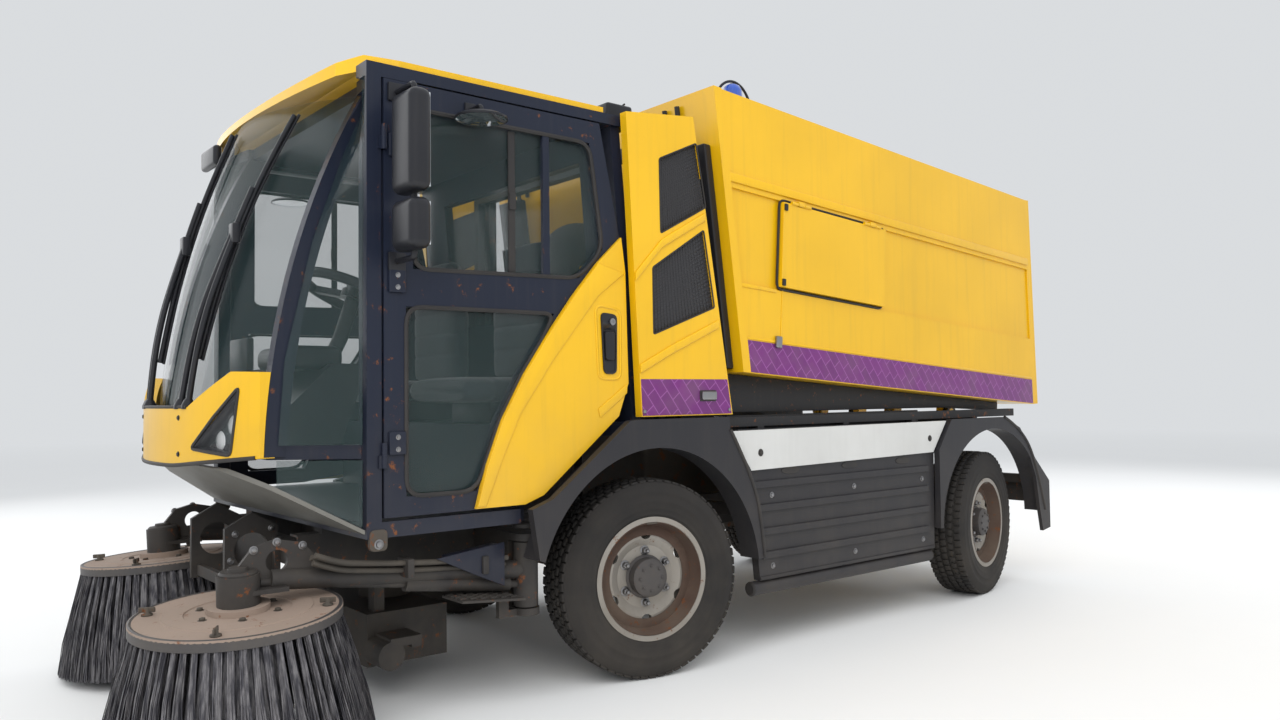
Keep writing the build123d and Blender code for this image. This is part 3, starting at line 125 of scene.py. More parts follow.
# Folds of the hopper's side as (outline, outer face from the middle, bevel, its segments)
HOPPER_CREASES = [
    ([(0.335, 1.803), (2.735, 1.803), (2.731, 1.842), (0.327, 1.842)], 0.8590, 0.006, 3),
    ([(0.425, 1.372), (0.640, 1.372), (0.640, 1.388), (0.421, 1.388)], 0.8545, 0.004, 2),
    ([(0.676, 1.186), (0.684, 1.186), (0.684, 1.390), (0.676, 1.390)], 0.8530, 0.001, 1),
    ([(0.472, 1.156), (2.804, 1.156), (2.802, 1.166), (0.470, 1.166)], 0.8535, 0.002, 2),
]
PLATE_SCREWS = [(0.560, 0.835), (1.795, 0.850)]
# Front of the lowered hopper: its foot and how far it leans forward a metre
FRONT_FOOT_Y, FRONT_FOOT_Z, FRONT_LEAN = 0.449, 1.014, 0.199
# Its rear door, leaning the same way
REAR_FOOT_Y, REAR_FOOT_Z, REAR_LEAN = 2.882, 1.020, (2.882 - 2.752) / (2.186 - 1.020)
FRONT_LIP = [(0.556, 0.400), (0.546, 0.500), (0.505, 0.716), (0.364, 0.938)]
REAR_LIP = [(2.895, 0.405), (2.800, 0.700), (2.640, 0.880), (2.480, 0.942)]
CARRIER_BOLTS = [(-1.400, 0.450), (-1.400, 0.530), (-1.262, 0.450), (-1.262, 0.630), (-1.385, 0.620)]

# Loops of (x, radius) that are turned about X, outwards from a wheel, disc or lamp
WHEEL_LINER = [
    (0.0955, 0.2145), (0.060, 0.2065), (0.0345, 0.1985), (0.0442, 0.160), (0.0462, 0.160), (0.0365, 0.1975),
    (0.060, 0.2050), (0.0965, 0.2125),
]  # fmt: skip
HUB_CAP = [
    (0.030, 0.0715), (0.030, 0.082), (0.034, 0.084), (0.038, 0.0735), (0.076, 0.0725), (0.084, 0.062),
    (0.0865, 0.040), (0.0865, 0.0), (0.081, 0.0), (0.081, 0.055), (0.075, 0.0715),
]  # fmt: skip
DISC_RIM = [
    (-0.026, 0.286), (-0.026, 0.3005), (-0.006, 0.3005), (0.006, 0.2995), (0.0085, 0.294), (0.0065, 0.288),
]  # fmt: skip
DISC_STEP = [(0.0055, 0.150), (0.0055, 0.215), (0.009, 0.212), (0.009, 0.153)]
PIVOT_CAP = [(0, 0), (0, 0.047), (0.012, 0.047), (0.018, 0.040), (0.018, 0.014), (0.026, 0.014), (0.028, 0)]
MOTOR_CAP = [
    (0.0, 0.0), (0.0, 0.056), (0.050, 0.056), (0.056, 0.050), (0.056, 0.030), (0.066, 0.028), (0.068, 0),
]  # fmt: skip
WING_POST = [(0.0, 0.0), (0.0, 0.016), (0.006, 0.016), (0.008, 0.008), (0.024, 0.007), (0.026, 0.0)]
LAMP_BOWL = [
    (0, 0.046), (-0.010, 0.041), (-0.022, 0.028), (-0.028, 0.0), (-0.031, 0.0), (-0.025, 0.031),
    (-0.012, 0.044), (-0.001, 0.049),
]  # fmt: skip
LAMP_BULB = [(-0.028, 0.0), (-0.028, 0.010), (-0.008, 0.010), (-0.003, 0.007), (-0.001, 0.0)]
LAMP_LENS = [
    (0.0, 0.0475), (0.004, 0.036), (0.007, 0.018), (0.008, 0.0), (0.005, 0.0), (0.001, 0.034),
    (-0.002, 0.0475),
]  # fmt: skip
# The lamps of one pocket as (x, z, radius), the turn lamp last
POCKET_LAMPS = ((0.440, 1.000, 0.031), (0.384, 0.950, 0.031), (0.450, 0.936, 0.023))
TURN_LAMP_LIMIT = 0.03

# Studio: lamps as (name, place, size, power), and the camera fitted to the photograph
LAMPS = (
    ("key", (5.5, -5.0, 6.0), 7.5, 540),
    ("fill", (-6.0, -3.5, 4.5), 7.0, 170),
    ("back", (1.0, 7.5, 6.5), 9.0, 380),
)
LAMP_TARGET = Vector((0, 0, 0.9))
CAMERA_PLACE = (3.690, -2.456, 1.078)
CAMERA_TURN = (39.73, 2.15, -0.67)
PHOTO_WIDTH = 1280
FOCAL_PIXELS = 970.2
SENSOR = 36
FADE_START, FADE_END = 5.0, 26.0


# Working in the modeller
def rest():
    """Leave edit mode with nothing selected."""
    if bpy.context.mode != "OBJECT":
        bpy.ops.object.mode_set(mode="OBJECT")
    bpy.ops.object.select_all(action="DESELECT")


def pick(piece):
    """Make a piece the only selected and active one."""
    rest()
    piece.select_set(True)
    bpy.context.view_layer.objects.active = piece
    return piece


def settle(piece):
    """Put a piece's place, turn and size into its mesh."""
    pick(piece)
    bpy.ops.object.transform_apply(location=True, rotation=True, scale=True)
    return piece


def shift(piece, matrix):
    """Move a piece's mesh by a matrix."""
    piece.data.transform(matrix)
    piece.data.update()
    return piece


def soften(piece, width, segments=2, angle=40):
    """Round the sharp edges of a piece."""
    pick(piece)
    bevel = piece.modifiers.new("edges", "BEVEL")
    bevel.width = width
    bevel.segments = segments
    bevel.limit_method = "ANGLE"
    bevel.angle_limit = math.radians(angle)
    bpy.ops.object.modifier_apply(modifier=bevel.name)
    bpy.ops.object.shade_smooth_by_angle(angle=math.radians(35))
    return piece


def outward(piece):
    """Merge doubles and turn every face outwards."""
    pick(piece)
    bpy.ops.object.mode_set(mode="EDIT")
    bpy.ops.mesh.select_all(action="SELECT")
    bpy.ops.mesh.remove_doubles(threshold=0.00002)
    bpy.ops.mesh.normals_make_consistent(inside=False)
    bpy.ops.object.mode_set(mode="OBJECT")
    return piece


def brick(low, high, bevel=0.004, segments=2):
    """A block between two corners with rounded edges."""
    rest()
    low, high = (Vector(min(pair) for pair in zip(low, high)), Vector(max(pair) for pair in zip(low, high)))
    bpy.ops.mesh.primitive_cube_add(size=1, location=(low + high) / 2)
    piece = bpy.context.object
    piece.scale = high - low
    settle(piece)
    return soften(piece, bevel, segments)


def slab(points, push, bevel=0.003, segments=2):
    """A flat outline of points, pushed along a vector into a plate."""
    rest()
    bpy.ops.mesh.primitive_circle_add(vertices=len(points), fill_type="NGON")
    piece = bpy.context.object
    for vertex, point in zip(piece.data.vertices, points):
        vertex.co = point
    bpy.ops.object.mode_set(mode="EDIT")
    bpy.ops.mesh.select_all(action="SELECT")
    bpy.ops.mesh.extrude_region_move(TRANSFORM_OT_translate={"value": push})
    bpy.ops.object.mode_set(mode="OBJECT")
    return soften(outward(piece), bevel, segments)


def side_slab(side, outline, x_low, x_high, bevel=0.003, segments=2):
    """A plate from a (y from the front axle, z) outline between two distances from the middle."""
    points = on_side(side, x_low, outline)
    return slab(points, (side * (x_high - x_low), 0, 0), bevel, segments)


def on_side(side, x, outline):
    """The points of a (y from the front axle, z) outline at a distance from the middle."""
    return [axle(side * x, y, z) for y, z in outline]


def block(side, low, high, bevel=0.004, segments=2):
    """A rounded block between two corners of one side, with y from the front axle."""
    return brick(*(axle(side * x, y, z) for x, y, z in (low, high)), bevel, segments)


def cut(piece, tool):
    """Take a tool's shape out of a piece."""
    pick(piece)
    less = piece.modifiers.new("less", "BOOLEAN")
    less.object = tool
    bpy.ops.object.modifier_apply(modifier=less.name)
    bpy.data.objects.remove(tool)
    return piece


def rounded(points, radius, steps=4):
    """A closed outline with each corner turned into an arc."""
    made = []
    for before, corner, after in zip(points[-1:] + points[:-1], points, points[1:] + points[:1]):
        here = Vector(corner)
        back, ahead = Vector(before) - here, Vector(after) - here
        reach = min(radius, back.length * 0.45, ahead.length * 0.45)
        start, end = here + back.normalized() * reach, here + ahead.normalized() * reach
        for step in range(steps + 1):
            t = step / steps
            made.append(tuple(start * (1 - t) ** 2 + here * 2 * t * (1 - t) + end * t**2))
    return made


def turned(profile, steps=48):
    """A ring turned about the X axis from a loop of (x, radius) points."""
    rest()
    bpy.ops.mesh.primitive_circle_add(vertices=len(profile), fill_type="NOTHING")
    piece = bpy.context.object
    for vertex, (x, radius) in zip(piece.data.vertices, profile):
        vertex.co = (x, 0, radius)
    bpy.ops.object.mode_set(mode="EDIT")
    bpy.ops.mesh.select_all(action="SELECT")
    bpy.ops.mesh.spin(steps=steps, angle=2 * math.pi, center=(0, 0, 0), axis=(1, 0, 0))
    bpy.ops.object.mode_set(mode="OBJECT")
    pick(outward(piece))
    bpy.ops.object.shade_smooth_by_angle(angle=math.radians(35))
    return piece


def aim(point, normal, out="X"):
    """Matrix that stands a piece modelled along an axis on a point, along a normal."""
    turn = Vector(normal).to_track_quat(out, "Y" if out != "Y" else "Z")
    return Matrix.Translation(Vector(point)) @ turn.to_matrix().to_4x4()


def around(place, point, angles):
    """Matrices that stand copies of a piece on a point turned about a place's Z axis."""
    return [place @ Matrix.Rotation(math.radians(a), 4, "Z") @ aim(point, (0, 0, 1)) for a in angles]


def swept(piece, radius, sides):
    """Give the active curve a round section and make it a mesh."""
    piece.data.dimensions = "3D"
    piece.data.bevel_depth = radius
    piece.data.bevel_resolution = sides
    piece.data.use_fill_caps = True
    pick(piece)
    bpy.ops.object.convert(target="MESH")
    piece = outward(bpy.context.object)
    bpy.ops.object.shade_smooth_by_angle(angle=math.radians(50))
    return piece


def pipe(points, radius, sides=3):
    """A round pipe along a smooth line that a few points lead."""
    rest()
    bpy.ops.curve.primitive_nurbs_path_add()
    piece = bpy.context.object
    piece.location = (0, 0, 0)
    piece.data.splines.clear()
    line = piece.data.splines.new("NURBS")
    line.points.add(len(points) - 1)
    for knot, point in zip(line.points, points):
        knot.co = (*point, 1)
    line.order_u = 3
    line.use_endpoint_u = True
    line.resolution_u = 6
    return swept(piece, radius, sides)


def bead(points, radius, sides=1):
    """A round bead that runs straight from point to point and closes on itself."""
    rest()
    bpy.ops.mesh.primitive_circle_add(vertices=len(points), fill_type="NOTHING")
    piece = bpy.context.object
    for vertex, point in zip(piece.data.vertices, points):
        vertex.co = point
    pick(piece)
    bpy.ops.object.convert(target="CURVE")
    return swept(bpy.context.object, radius, sides)


def loft(rings, smooth=40):
    """A closed skin through rings of equally many points."""
    count = len(rings[0])
    faces = [
        (row + k, row + (k + 1) % count, row + count + (k + 1) % count, row + count + k)
        for row in range(0, (len(rings) - 1) * count, count)
        for k in range(count)
    ]
    faces += [tuple(range(count)), tuple(range((len(rings) - 1) * count, len(rings) * count))]
    mesh = bpy.data.meshes.new("loft")
    mesh.from_pydata([tuple(point) for ring in rings for point in ring], [], faces)
    piece = bpy.data.objects.new("loft", mesh)
    bpy.context.scene.collection.objects.link(piece)
    pick(outward(piece))
    bpy.ops.object.shade_smooth_by_angle(angle=math.radians(smooth))
    return piece


def repeat(piece, places):
    """One mesh that holds a copy of a piece at each matrix."""
    mesh = piece.data
    count = len(mesh.vertices)
    points = np.empty(count * 3, np.float32)
    mesh.vertices.foreach_get("co", points)
    points = np.c_[points.reshape(-1, 3), np.ones(count)]
    faces = [tuple(face.vertices) for face in mesh.polygons]
    smooth = [face.use_smooth for face in mesh.polygons]
    copies = [(points @ np.array(place).T)[:, :3] for place in places]
    all_faces = [tuple(v + n * count for v in face) for n in range(len(places)) for face in faces]
    made = bpy.data.meshes.new("copies")
    made.from_pydata(np.concatenate(copies), [], all_faces)
    made.polygons.foreach_set("use_smooth", smooth * len(places))
    piece.data = made
    return piece


def joined(pieces):
    """Several pieces as one."""
    pick(pieces[0])
    for piece in pieces:
        piece.select_set(True)
    bpy.ops.object.join()
    return bpy.context.object


def hand_over(piece, name, body, finish, replaced=()):
    """Name a finished piece, give it its finish and let it move with its body."""
    piece.name = name
    piece.data.name = name
    paint(piece, finish)
    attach(piece, body)
    if replaced:
        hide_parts(*replaced)
    return piece


def paint(piece, finish):
    """Give a piece one finish."""
    piece.data.materials.clear()
    piece.data.materials.append(bpy.data.materials[f"finish_{finish}"])


def axle(x, y, z):
    """A point with its y from the front axle."""
    return Vector((x, AXLE_Y + y, z))


RAISE = Matrix.Translation(TIP_PIVOT) @ Matrix.Rotation(-TIP, 4, "X") @ Matrix.Translation(-TIP_PIVOT)


def corner_matrix(corner):
    """Matrix from a wheel modelled about X, outwards, to its place and steering angle."""
    side = 1 if corner.endswith("left") else -1
    y = 0 if corner.startswith("front") else WHEELBASE
    steer = math.radians(STEER[corner])
    out = Vector((side * math.cos(steer), side * math.sin(steer), 0))
    turn = Matrix((out, Vector((0, 0, 1)).cross(out), (0, 0, 1))).transposed().to_4x4()
    return Matrix.Translation(axle(side * KINGPIN_X, y, TYRE_R) + out * WHEEL_OFFSET) @ turn


def brush_matrix(hand):
    """Matrix from a brush modelled about Z to its place and tilt."""
    return aim(axle(*BRUSHES[hand], BRUSH_Z), (HANDS[hand] * 0.046, -0.042, 1), "Z")


def hex_head(radius, height):
    """A bolt head with its washer, standing on the origin along X."""
    rest()
    bpy.ops.mesh.primitive_cylinder_add(vertices=6, radius=radius, depth=height, location=(0, 0, height / 2))
    head = soften(settle(bpy.context.object), height * 0.18, 1)
    rest()
    bpy.ops.mesh.primitive_cylinder_add(vertices=16, radius=radius * 1.35, depth=height * 0.2)
    washer = soften(settle(bpy.context.object), height * 0.05, 1)
    return shift(joined([head, washer]), Matrix.Rotation(math.radians(90), 4, "Y"))


def bolts(name, body, places, radius=0.009, height=0.008, finish="bright_metal"):
    """Bolt heads at a list of (point, normal)."""
    heads = repeat(hex_head(radius, height), [aim(point, normal) for point, normal in places])
    return hand_over(heads, name, body, finish)


def copy_of(piece, matrix):
    """Another object with the same mesh, moved by a matrix."""
    twin = piece.copy()
    twin.data = piece.data.copy()
    bpy.context.scene.collection.objects.link(twin)
    return shift(twin, matrix)


def cushion(low, high, long_axis, flat_axis, channels):
    """A crowned pad between two corners, drawn in at its sides, with channels across its length."""
    low, high = axle(*low), axle(*high)
    centre, half = (low + high) / 2, (high - low) / 2
    wide_axis = 3 - long_axis - flat_axis
    rings = []
    for t in np.linspace(-1, 1, 49):
        ends = max(0.0, 1 - abs(t) ** 8) ** 0.3
        groove = sum(math.exp(-(((t + 1) / 2 - place) / 0.018) ** 2) for place in channels)
        ring = []
        for a in np.linspace(0, 2 * math.pi, 41)[:-1]:
            u = math.copysign(abs(math.cos(a)) ** 0.45, math.cos(a))
            v = math.copysign(abs(math.sin(a)) ** 0.62, math.sin(a))
            point = centre.copy()
            point[wide_axis] += half[wide_axis] * u * (0.94 + 0.06 * ends) * (0.985 - 0.012 * groove)
            point[flat_axis] += half[flat_axis] * v * (0.35 + 0.65 * ends) * (1 - 0.13 * groove)
            point[long_axis] += half[long_axis] * t
            ring.append(point)
        rings.append(ring)
    return loft(rings)


def arc_centre(first, second, third):
    """Centre of the circle through three points of a plane."""
    (ax, ay), (bx, by), (cx, cy) = first, second, third
    twice = 2 * (ax * (by - cy) + bx * (cy - ay) + cx * (ay - by))
    a, b, c = ax * ax + ay * ay, bx * bx + by * by, cx * cx + cy * cy
    return (
        (a * (by - cy) + b * (cy - ay) + c * (ay - by)) / twice,
        (a * (cx - bx) + b * (ax - cx) + c * (bx - ax)) / twice,
    )


SCREEN_AXIS_Y = -0.410
SCREEN_ARC = [
    (math.hypot(0.555, y - SCREEN_AXIS_Y) + 0.004, z)
    for y, z in ((-1.410, 0.900), (-1.297, 1.600), (-1.066, 2.150))
]
SCREEN_CENTRE = arc_centre(*SCREEN_ARC)


def on_screen(x, z, ahead):
    """Point ahead of the screen's outer face at an x and a height."""
    arc_r = math.dist(SCREEN_ARC[0], SCREEN_CENTRE)
    radius = SCREEN_CENTRE[0] + math.sqrt(arc_r**2 - (z - SCREEN_CENTRE[1]) ** 2) + ahead
    return axle(x, SCREEN_AXIS_Y - math.sqrt(radius**2 - x**2), z)


def on_nose(x, z, radius):
    """Point of the nose at an x, a height and a distance from the screen's upright axis."""
    return axle(x, SCREEN_AXIS_Y - math.sqrt(radius**2 - x**2), z)


# Shading
class Finish:
    """A material and the nodes that feed its one shader."""

    def __init__(self, name, colour, roughness, metallic=0.0, **sockets):
        self.material = bpy.data.materials.new(f"finish_{name}")
        self.material.use_nodes = True
        self.tree = self.material.node_tree
        self.shader = self.tree.nodes["Principled BSDF"]
        self.colour = (*colour, 1)
        self.set("Base Color", self.colour)
        self.set("Roughness", roughness)
        self.set("Metallic", metallic)
        for socket, value in sockets.items():
            self.set(socket.replace("_", " "), value)

    def set(self, socket, value):
        """Fix a socket of the shader, or link a node's output to it."""
        if isinstance(value, bpy.types.NodeSocket):
            self.tree.links.new(value, self.shader.inputs[socket])
        else:
            self.shader.inputs[socket].default_value = value

    def node(self, kind, **inputs):
        """Add a node and feed its inputs with values or outputs."""
        made = self.tree.nodes.new(kind)
        for name, value in inputs.items():
            socket = made.inputs[int(name[1:]) if name[1:].isdigit() else name.replace("_", " ")]
            if isinstance(value, bpy.types.NodeSocket):
                self.tree.links.new(value, socket)
            else:
                socket.default_value = value
        return made

    def place(self, stretch=(1, 1, 1), turn=(0, 0, 0)):
        """Object coordinates, stretched and turned."""
        where = self.tree.nodes.new("ShaderNodeTexCoord")
        mapping = self.node("ShaderNodeMapping", Vector=where.outputs["Object"], Scale=stretch, Rotation=turn)
        return mapping.outputs["Vector"]

    def noise(self, scale, detail=4.0, stretch=(1, 1, 1), rough=0.55):
        """Cloudy noise, 0 to 1."""
        made = self.node(
            "ShaderNodeTexNoise", Vector=self.place(stretch), Scale=scale, Detail=detail, Roughness=rough
        )
        return made.outputs["Fac"]

    def span(self, value, low, high, start=0.0, end=1.0):
        """Map a value's range low to high onto start to end."""
        made = self.node(
            "ShaderNodeMapRange", Value=value, From_Min=low, From_Max=high, To_Min=start, To_Max=end
        )
        return made.outputs["Result"]

    def times(self, first, second):
        """Product of two values."""
        made = self.node("ShaderNodeMath", _0=first, _1=second)
        made.operation = "MULTIPLY"
        return made.outputs[0]

    def over(self, factor, below, above):
        """Lay one colour over another by a factor."""
        made = self.tree.nodes.new("ShaderNodeMix")
        made.data_type = "RGBA"
        for socket, value in ((0, factor), (6, below), (7, above)):
            if isinstance(value, bpy.types.NodeSocket):
                self.tree.links.new(value, made.inputs[socket])
            else:
                made.inputs[socket].default_value = value if socket == 0 else (*value[:3], 1)
        return made.outputs[2]

    def height(self, low, high, start, end):
        """A value that runs from start to end between two heights above the ground."""
        where = self.tree.nodes.new("ShaderNodeTexCoord")
        parts = self.node("ShaderNodeSeparateXYZ", Vector=where.outputs["Object"])
        return self.span(parts.outputs["Z"], low, high, start, end)

    def bump(self, value, strength, distance=0.002):
        """Raise the surface by a value."""
        made = self.node("ShaderNodeBump", Height=value, Strength=strength, Distance=distance)
        self.set("Normal", made.outputs["Normal"])


DUST = (0.20, 0.165, 0.125)
AIR = (0.70, 0.72, 0.74, 1)
RUST = (0.16, 0.055, 0.018)


def weathered(
    name,
    colour,
    roughness,
    metallic=0.0,
    dust=0.35,
    dust_top=1.1,
    streaks=0.15,
    chips=0.0,
    grain=90,
    relief=0.1,
    **sockets,
):
    """Paint or plastic with mottling, dust that thickens downwards, run marks and rust chips."""
    finish = Finish(name, colour, roughness, metallic, **sockets)
    shade = tuple(c * 0.88 for c in colour)
    look = finish.over(finish.span(finish.noise(2.2, 5), 0.35, 0.7, 0, 0.7), colour, shade)
    if streaks:
        runs = finish.span(finish.noise(5, 6, (7, 7, 0.35)), 0.52, 0.74, 0, streaks)
        look = finish.over(runs, look, tuple(c * 0.35 + d * 0.3 for c, d in zip(colour, DUST)))
    if dust:
        low = finish.height(0.15, dust_top, 1, 0.06)
        patch = finish.span(finish.noise(6, 8), 0.3, 0.72, 0.25, 1)
        dirt = finish.times(finish.times(low, patch), dust)
        look = finish.over(dirt, look, DUST)
        finish.set("Roughness", finish.span(dirt, 0, 1, roughness, 0.9))
    else:
        finish.set("Roughness", finish.span(finish.noise(14, 4), 0.3, 0.7, roughness * 0.85, roughness * 1.2))
    if chips:
        spots = finish.span(finish.noise(23, 9, rough=0.7), 0.66 - chips * 0.1, 0.72 - chips * 0.1, 0, 1)
        look = finish.over(spots, look, RUST)
    finish.set("Base Color", look)
    finish.bump(finish.noise(grain, 3), relief)
    return finish


def colour_setting(name, text, value):
    """A colour that the user may change."""
    return bpy.props.FloatVectorProperty(
        name=name, description=text, subtype="COLOR", size=3, min=0, max=1, default=value
    )


class SweeperColours(bpy.types.PropertyGroup):
    """Colours of the painted and moulded parts."""

    body: colour_setting("Body", "Main paint of cab, cowls and hopper", (0.78, 0.445, 0.003))
    frame: colour_setting("Frame", "Dark paint of door frames and pillars", (0.012, 0.016, 0.030))
    chassis: colour_setting("Chassis", "Paint of chassis and arms", (0.020, 0.020, 0.022))
    stripe: colour_setting("Stripe", "Band along cowl and hopper", (0.150, 0.010, 0.155))
    stripe_line: colour_setting("Stripe lines", "Thin lines on the band", (0.27, 0.07, 0.28))
    plate: colour_setting("Side plate", "Blank plate above the skirt", (0.62, 0.62, 0.60))
    skirt: colour_setting("Skirt", "Skirts and arches", (0.022, 0.022, 0.026))
    chin: colour_setting("Chin", "Grey panel under the nose", (0.16, 0.16, 0.145))
    glass: colour_setting("Glass", "Tint of the panes", (0.030, 0.060, 0.058))


class SweeperSizes(bpy.types.PropertyGroup):
    """Counts and sizes of the dressing."""

    tufts: bpy.props.IntProperty(
        name="Tufts", description="Bristle tufts in one ring of a brush", default=60, min=12
    )
    tread_blocks: bpy.props.IntProperty(
        name="Tread blocks", description="Blocks round a tyre", default=64, min=12
    )
    tread: bpy.props.FloatProperty(
        name="Tread depth", description="Depth of the tyre's grooves", default=0.009, unit="LENGTH"
    )


CAD_FINISHES = {
    "yellow": "cab_roof nose_panel door_panel_left door_panel_right cowl_panels hopper_body hopper_door "
    "hopper_hatch_left hopper_hatch_right",
    "navy": "cab_frame door_frame_left door_frame_right",
    "chassis_black": "chassis_frame deck_frame cowl_frame front_carrier brush_arm_left brush_arm_right "
    "suction_nozzle ram_barrels rear_bumper",
    "axle_iron": "front_axle rear_axle engine_block knuckle_front_left knuckle_front_right knuckle_rear_left "
    "knuckle_rear_right",
    "pane": "windscreen side_glass door_glass_left door_glass_right",
    "lamp_glass": "headlamps",
    "chin_grey": "chin_panel",
    "black_plastic": "wipers dashboard kerb_mirror mirrors_left mirrors_right hopper_fittings",
    "seat_cloth": "cab_seats",
    "skirt_grey": "side_skirts wheel_arches",
    "plate_white": "skirt_plates",
    "grille_mesh": "cowl_grilles",
    "hose_rubber": "suction_duct",
    "disc_dust": "brush_plate_left brush_plate_right",
    "bristle_wire": "brush_bristles_left brush_bristles_right",
    "ram_chrome": "ram_rods",
    "red_lens": "tail_lamps",
    "rim_steel": "wheel_front_left wheel_front_right wheel_rear_left wheel_rear_right",
    "tyre_rubber": "tyre_front_left tyre_front_right tyre_rear_left tyre_rear_right",
}


class SWEEPER_OT_finishes(bpy.types.Operator):
    """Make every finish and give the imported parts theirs"""

    bl_idname = "sweeper.finishes"
    bl_label = "Finishes"

    def execute(self, context):
        """Build the materials and assign them."""
        tint = context.scene.sweeper_colours
        weathered(
            "yellow",
            tuple(tint.body),
            0.28,
            dust=0.32,
            dust_top=1.25,
            streaks=0.12,
            relief=0.02,
            Coat_Weight=0.12,
            Coat_Roughness=0.2,
        )
        weathered(
            "navy",
            tuple(tint.frame),
            0.30,
            dust=0.16,
            streaks=0.10,
            chips=0.35,
            relief=0.05,
            Specular_IOR_Level=0.28,
        )
        weathered(
            "chassis_black",
            tuple(tint.chassis),
            0.5,
            dust=0.38,
            dust_top=0.9,
            streaks=0.1,
            chips=0.6,
            relief=0.25,
            Specular_IOR_Level=0.30,
        )
        weathered("axle_iron", (0.06, 0.052, 0.045), 0.7, 0.3, dust=0.55, dust_top=1.3, chips=0.9, relief=0.4)
        weathered("chin_grey", tuple(tint.chin), 0.5, dust=0.55, dust_top=1.2, streaks=0.25, relief=0.06)
        weathered(
            "black_plastic",
            (0.013, 0.014, 0.018),
            0.30,
            dust=0.05,
            dust_top=3.2,
            streaks=0.05,
            grain=500,
            relief=0.12,
            Specular_IOR_Level=0.35,
        )
        weathered(
            "skirt_grey",
            tuple(tint.skirt),
            0.42,
            dust=0.18,
            dust_top=1.0,
            streaks=0.12,
            grain=420,
            relief=0.12,
            Specular_IOR_Level=0.30,
        )
        weathered("plate_white", tuple(tint.plate), 0.35, dust=0.30, dust_top=1.15, streaks=0.05, relief=0.02)
        weathered("hose_rubber", (0.022, 0.021, 0.020), 0.7, dust=0.5, dust_top=1.6, relief=0.25)
        weathered(
            "disc_dust",
            (0.30, 0.225, 0.18),
            0.85,
            dust=0.6,
            dust_top=0.7,
            streaks=0.0,
            chips=0.45,
            grain=60,
            relief=0.5,
        )
        weathered(
            "rim_steel",
            (0.36, 0.335, 0.30),
            0.42,
            0.55,
            dust=0.55,
            dust_top=0.9,
            chips=0.5,
            grain=130,
            relief=0.2,
        )
        weathered("ram_chrome", (0.72, 0.72, 0.74), 0.12, 1.0, dust=0.2, streaks=0.0, relief=0.02)
        self.glass(tuple(tint.glass))
        self.stripe(tuple(tint.stripe), tuple(tint.stripe_line))
        self.cloth()
        self.mesh_and_wire()
        self.lenses()
        self.rubber()
        for finish, nodes in CAD_FINISHES.items():
            for node in nodes.split():
                paint(frame["nodes"][node], finish)
        return {"FINISHED"}

    def glass(self, tint):
        """Tinted panes and clear lamp glass."""
        pane = Finish("pane", tint, 0.03, Specular_IOR_Level=0.9)
        film = pane.span(pane.noise(2.5, 5), 0.40, 0.80, 0, 0.10)
        # Painted shade: panes are more opaque lower down, so the lower glass reads darker than the upper
        pane.set("Alpha", pane.span(pane.height(0.7, 1.5, 1, 0), 0, 1, 0.17, 0.27))
        pane.set("Base Color", pane.over(film, tint, (0.30, 0.31, 0.30)))
        pane.set("Roughness", pane.span(pane.noise(3, 4), 0.4, 0.8, 0.02, 0.07))
        lamp = Finish("lamp_glass", (0.30, 0.32, 0.33), 0.03, Specular_IOR_Level=0.8)
        lamp.set("Alpha", lamp.span(lamp.noise(12, 3), 0.3, 0.7, 0.06, 0.12))
        clear = Finish("lens_clear", (0.66, 0.67, 0.66), 0.10, Specular_IOR_Level=0.8)
        flutes = clear.node("ShaderNodeTexWave", Vector=clear.place(), Scale=45.0)
        clear.set(
            "Base Color",
            clear.over(
                clear.span(flutes.outputs["Fac"], 0, 1, 0, 0.5), (0.72, 0.73, 0.72), (0.42, 0.43, 0.44)
            ),
        )
        clear.bump(flutes.outputs["Fac"], 0.3, 0.001)

    def stripe(self, ground, line):
        """Purple band with thin straight lines laid like long bricks on the slant."""
        band = Finish("stripe_purple", ground, 0.35, Coat_Weight=0.3)
        bricks = band.node(
            "ShaderNodeTexBrick",
            Vector=band.place((1, 1, 1), (0, math.radians(90), math.radians(38))),
            Color1=(*ground, 1),
            Color2=(*(c * 0.8 for c in ground), 1),
            Mortar=(*line, 1),
            Scale=5.5,
            Mortar_Size=0.010,
        )
        look = band.over(band.span(band.noise(7, 7), 0.45, 0.8, 0, 0.22), bricks.outputs["Color"], DUST)
        band.set("Base Color", look)
        band.bump(band.noise(120, 3), 0.03)

    def cloth(self):
        """Woven seat cloth."""
        seat = Finish("seat_cloth", (0.030, 0.036, 0.044), 0.95, Sheen_Weight=0.4)
        weave = seat.node(
            "ShaderNodeTexChecker", Vector=seat.place(), Scale=420.0, Color1=(1, 1, 1, 1), Color2=(0, 0, 0, 1)
        )
        seat.set(
            "Base Color",
            seat.over(
                seat.span(seat.noise(8, 6), 0.3, 0.7, 0, 0.6), (0.030, 0.036, 0.044), (0.06, 0.066, 0.072)
            ),
        )
        seat.bump(weave.outputs["Fac"], 0.4, 0.0006)

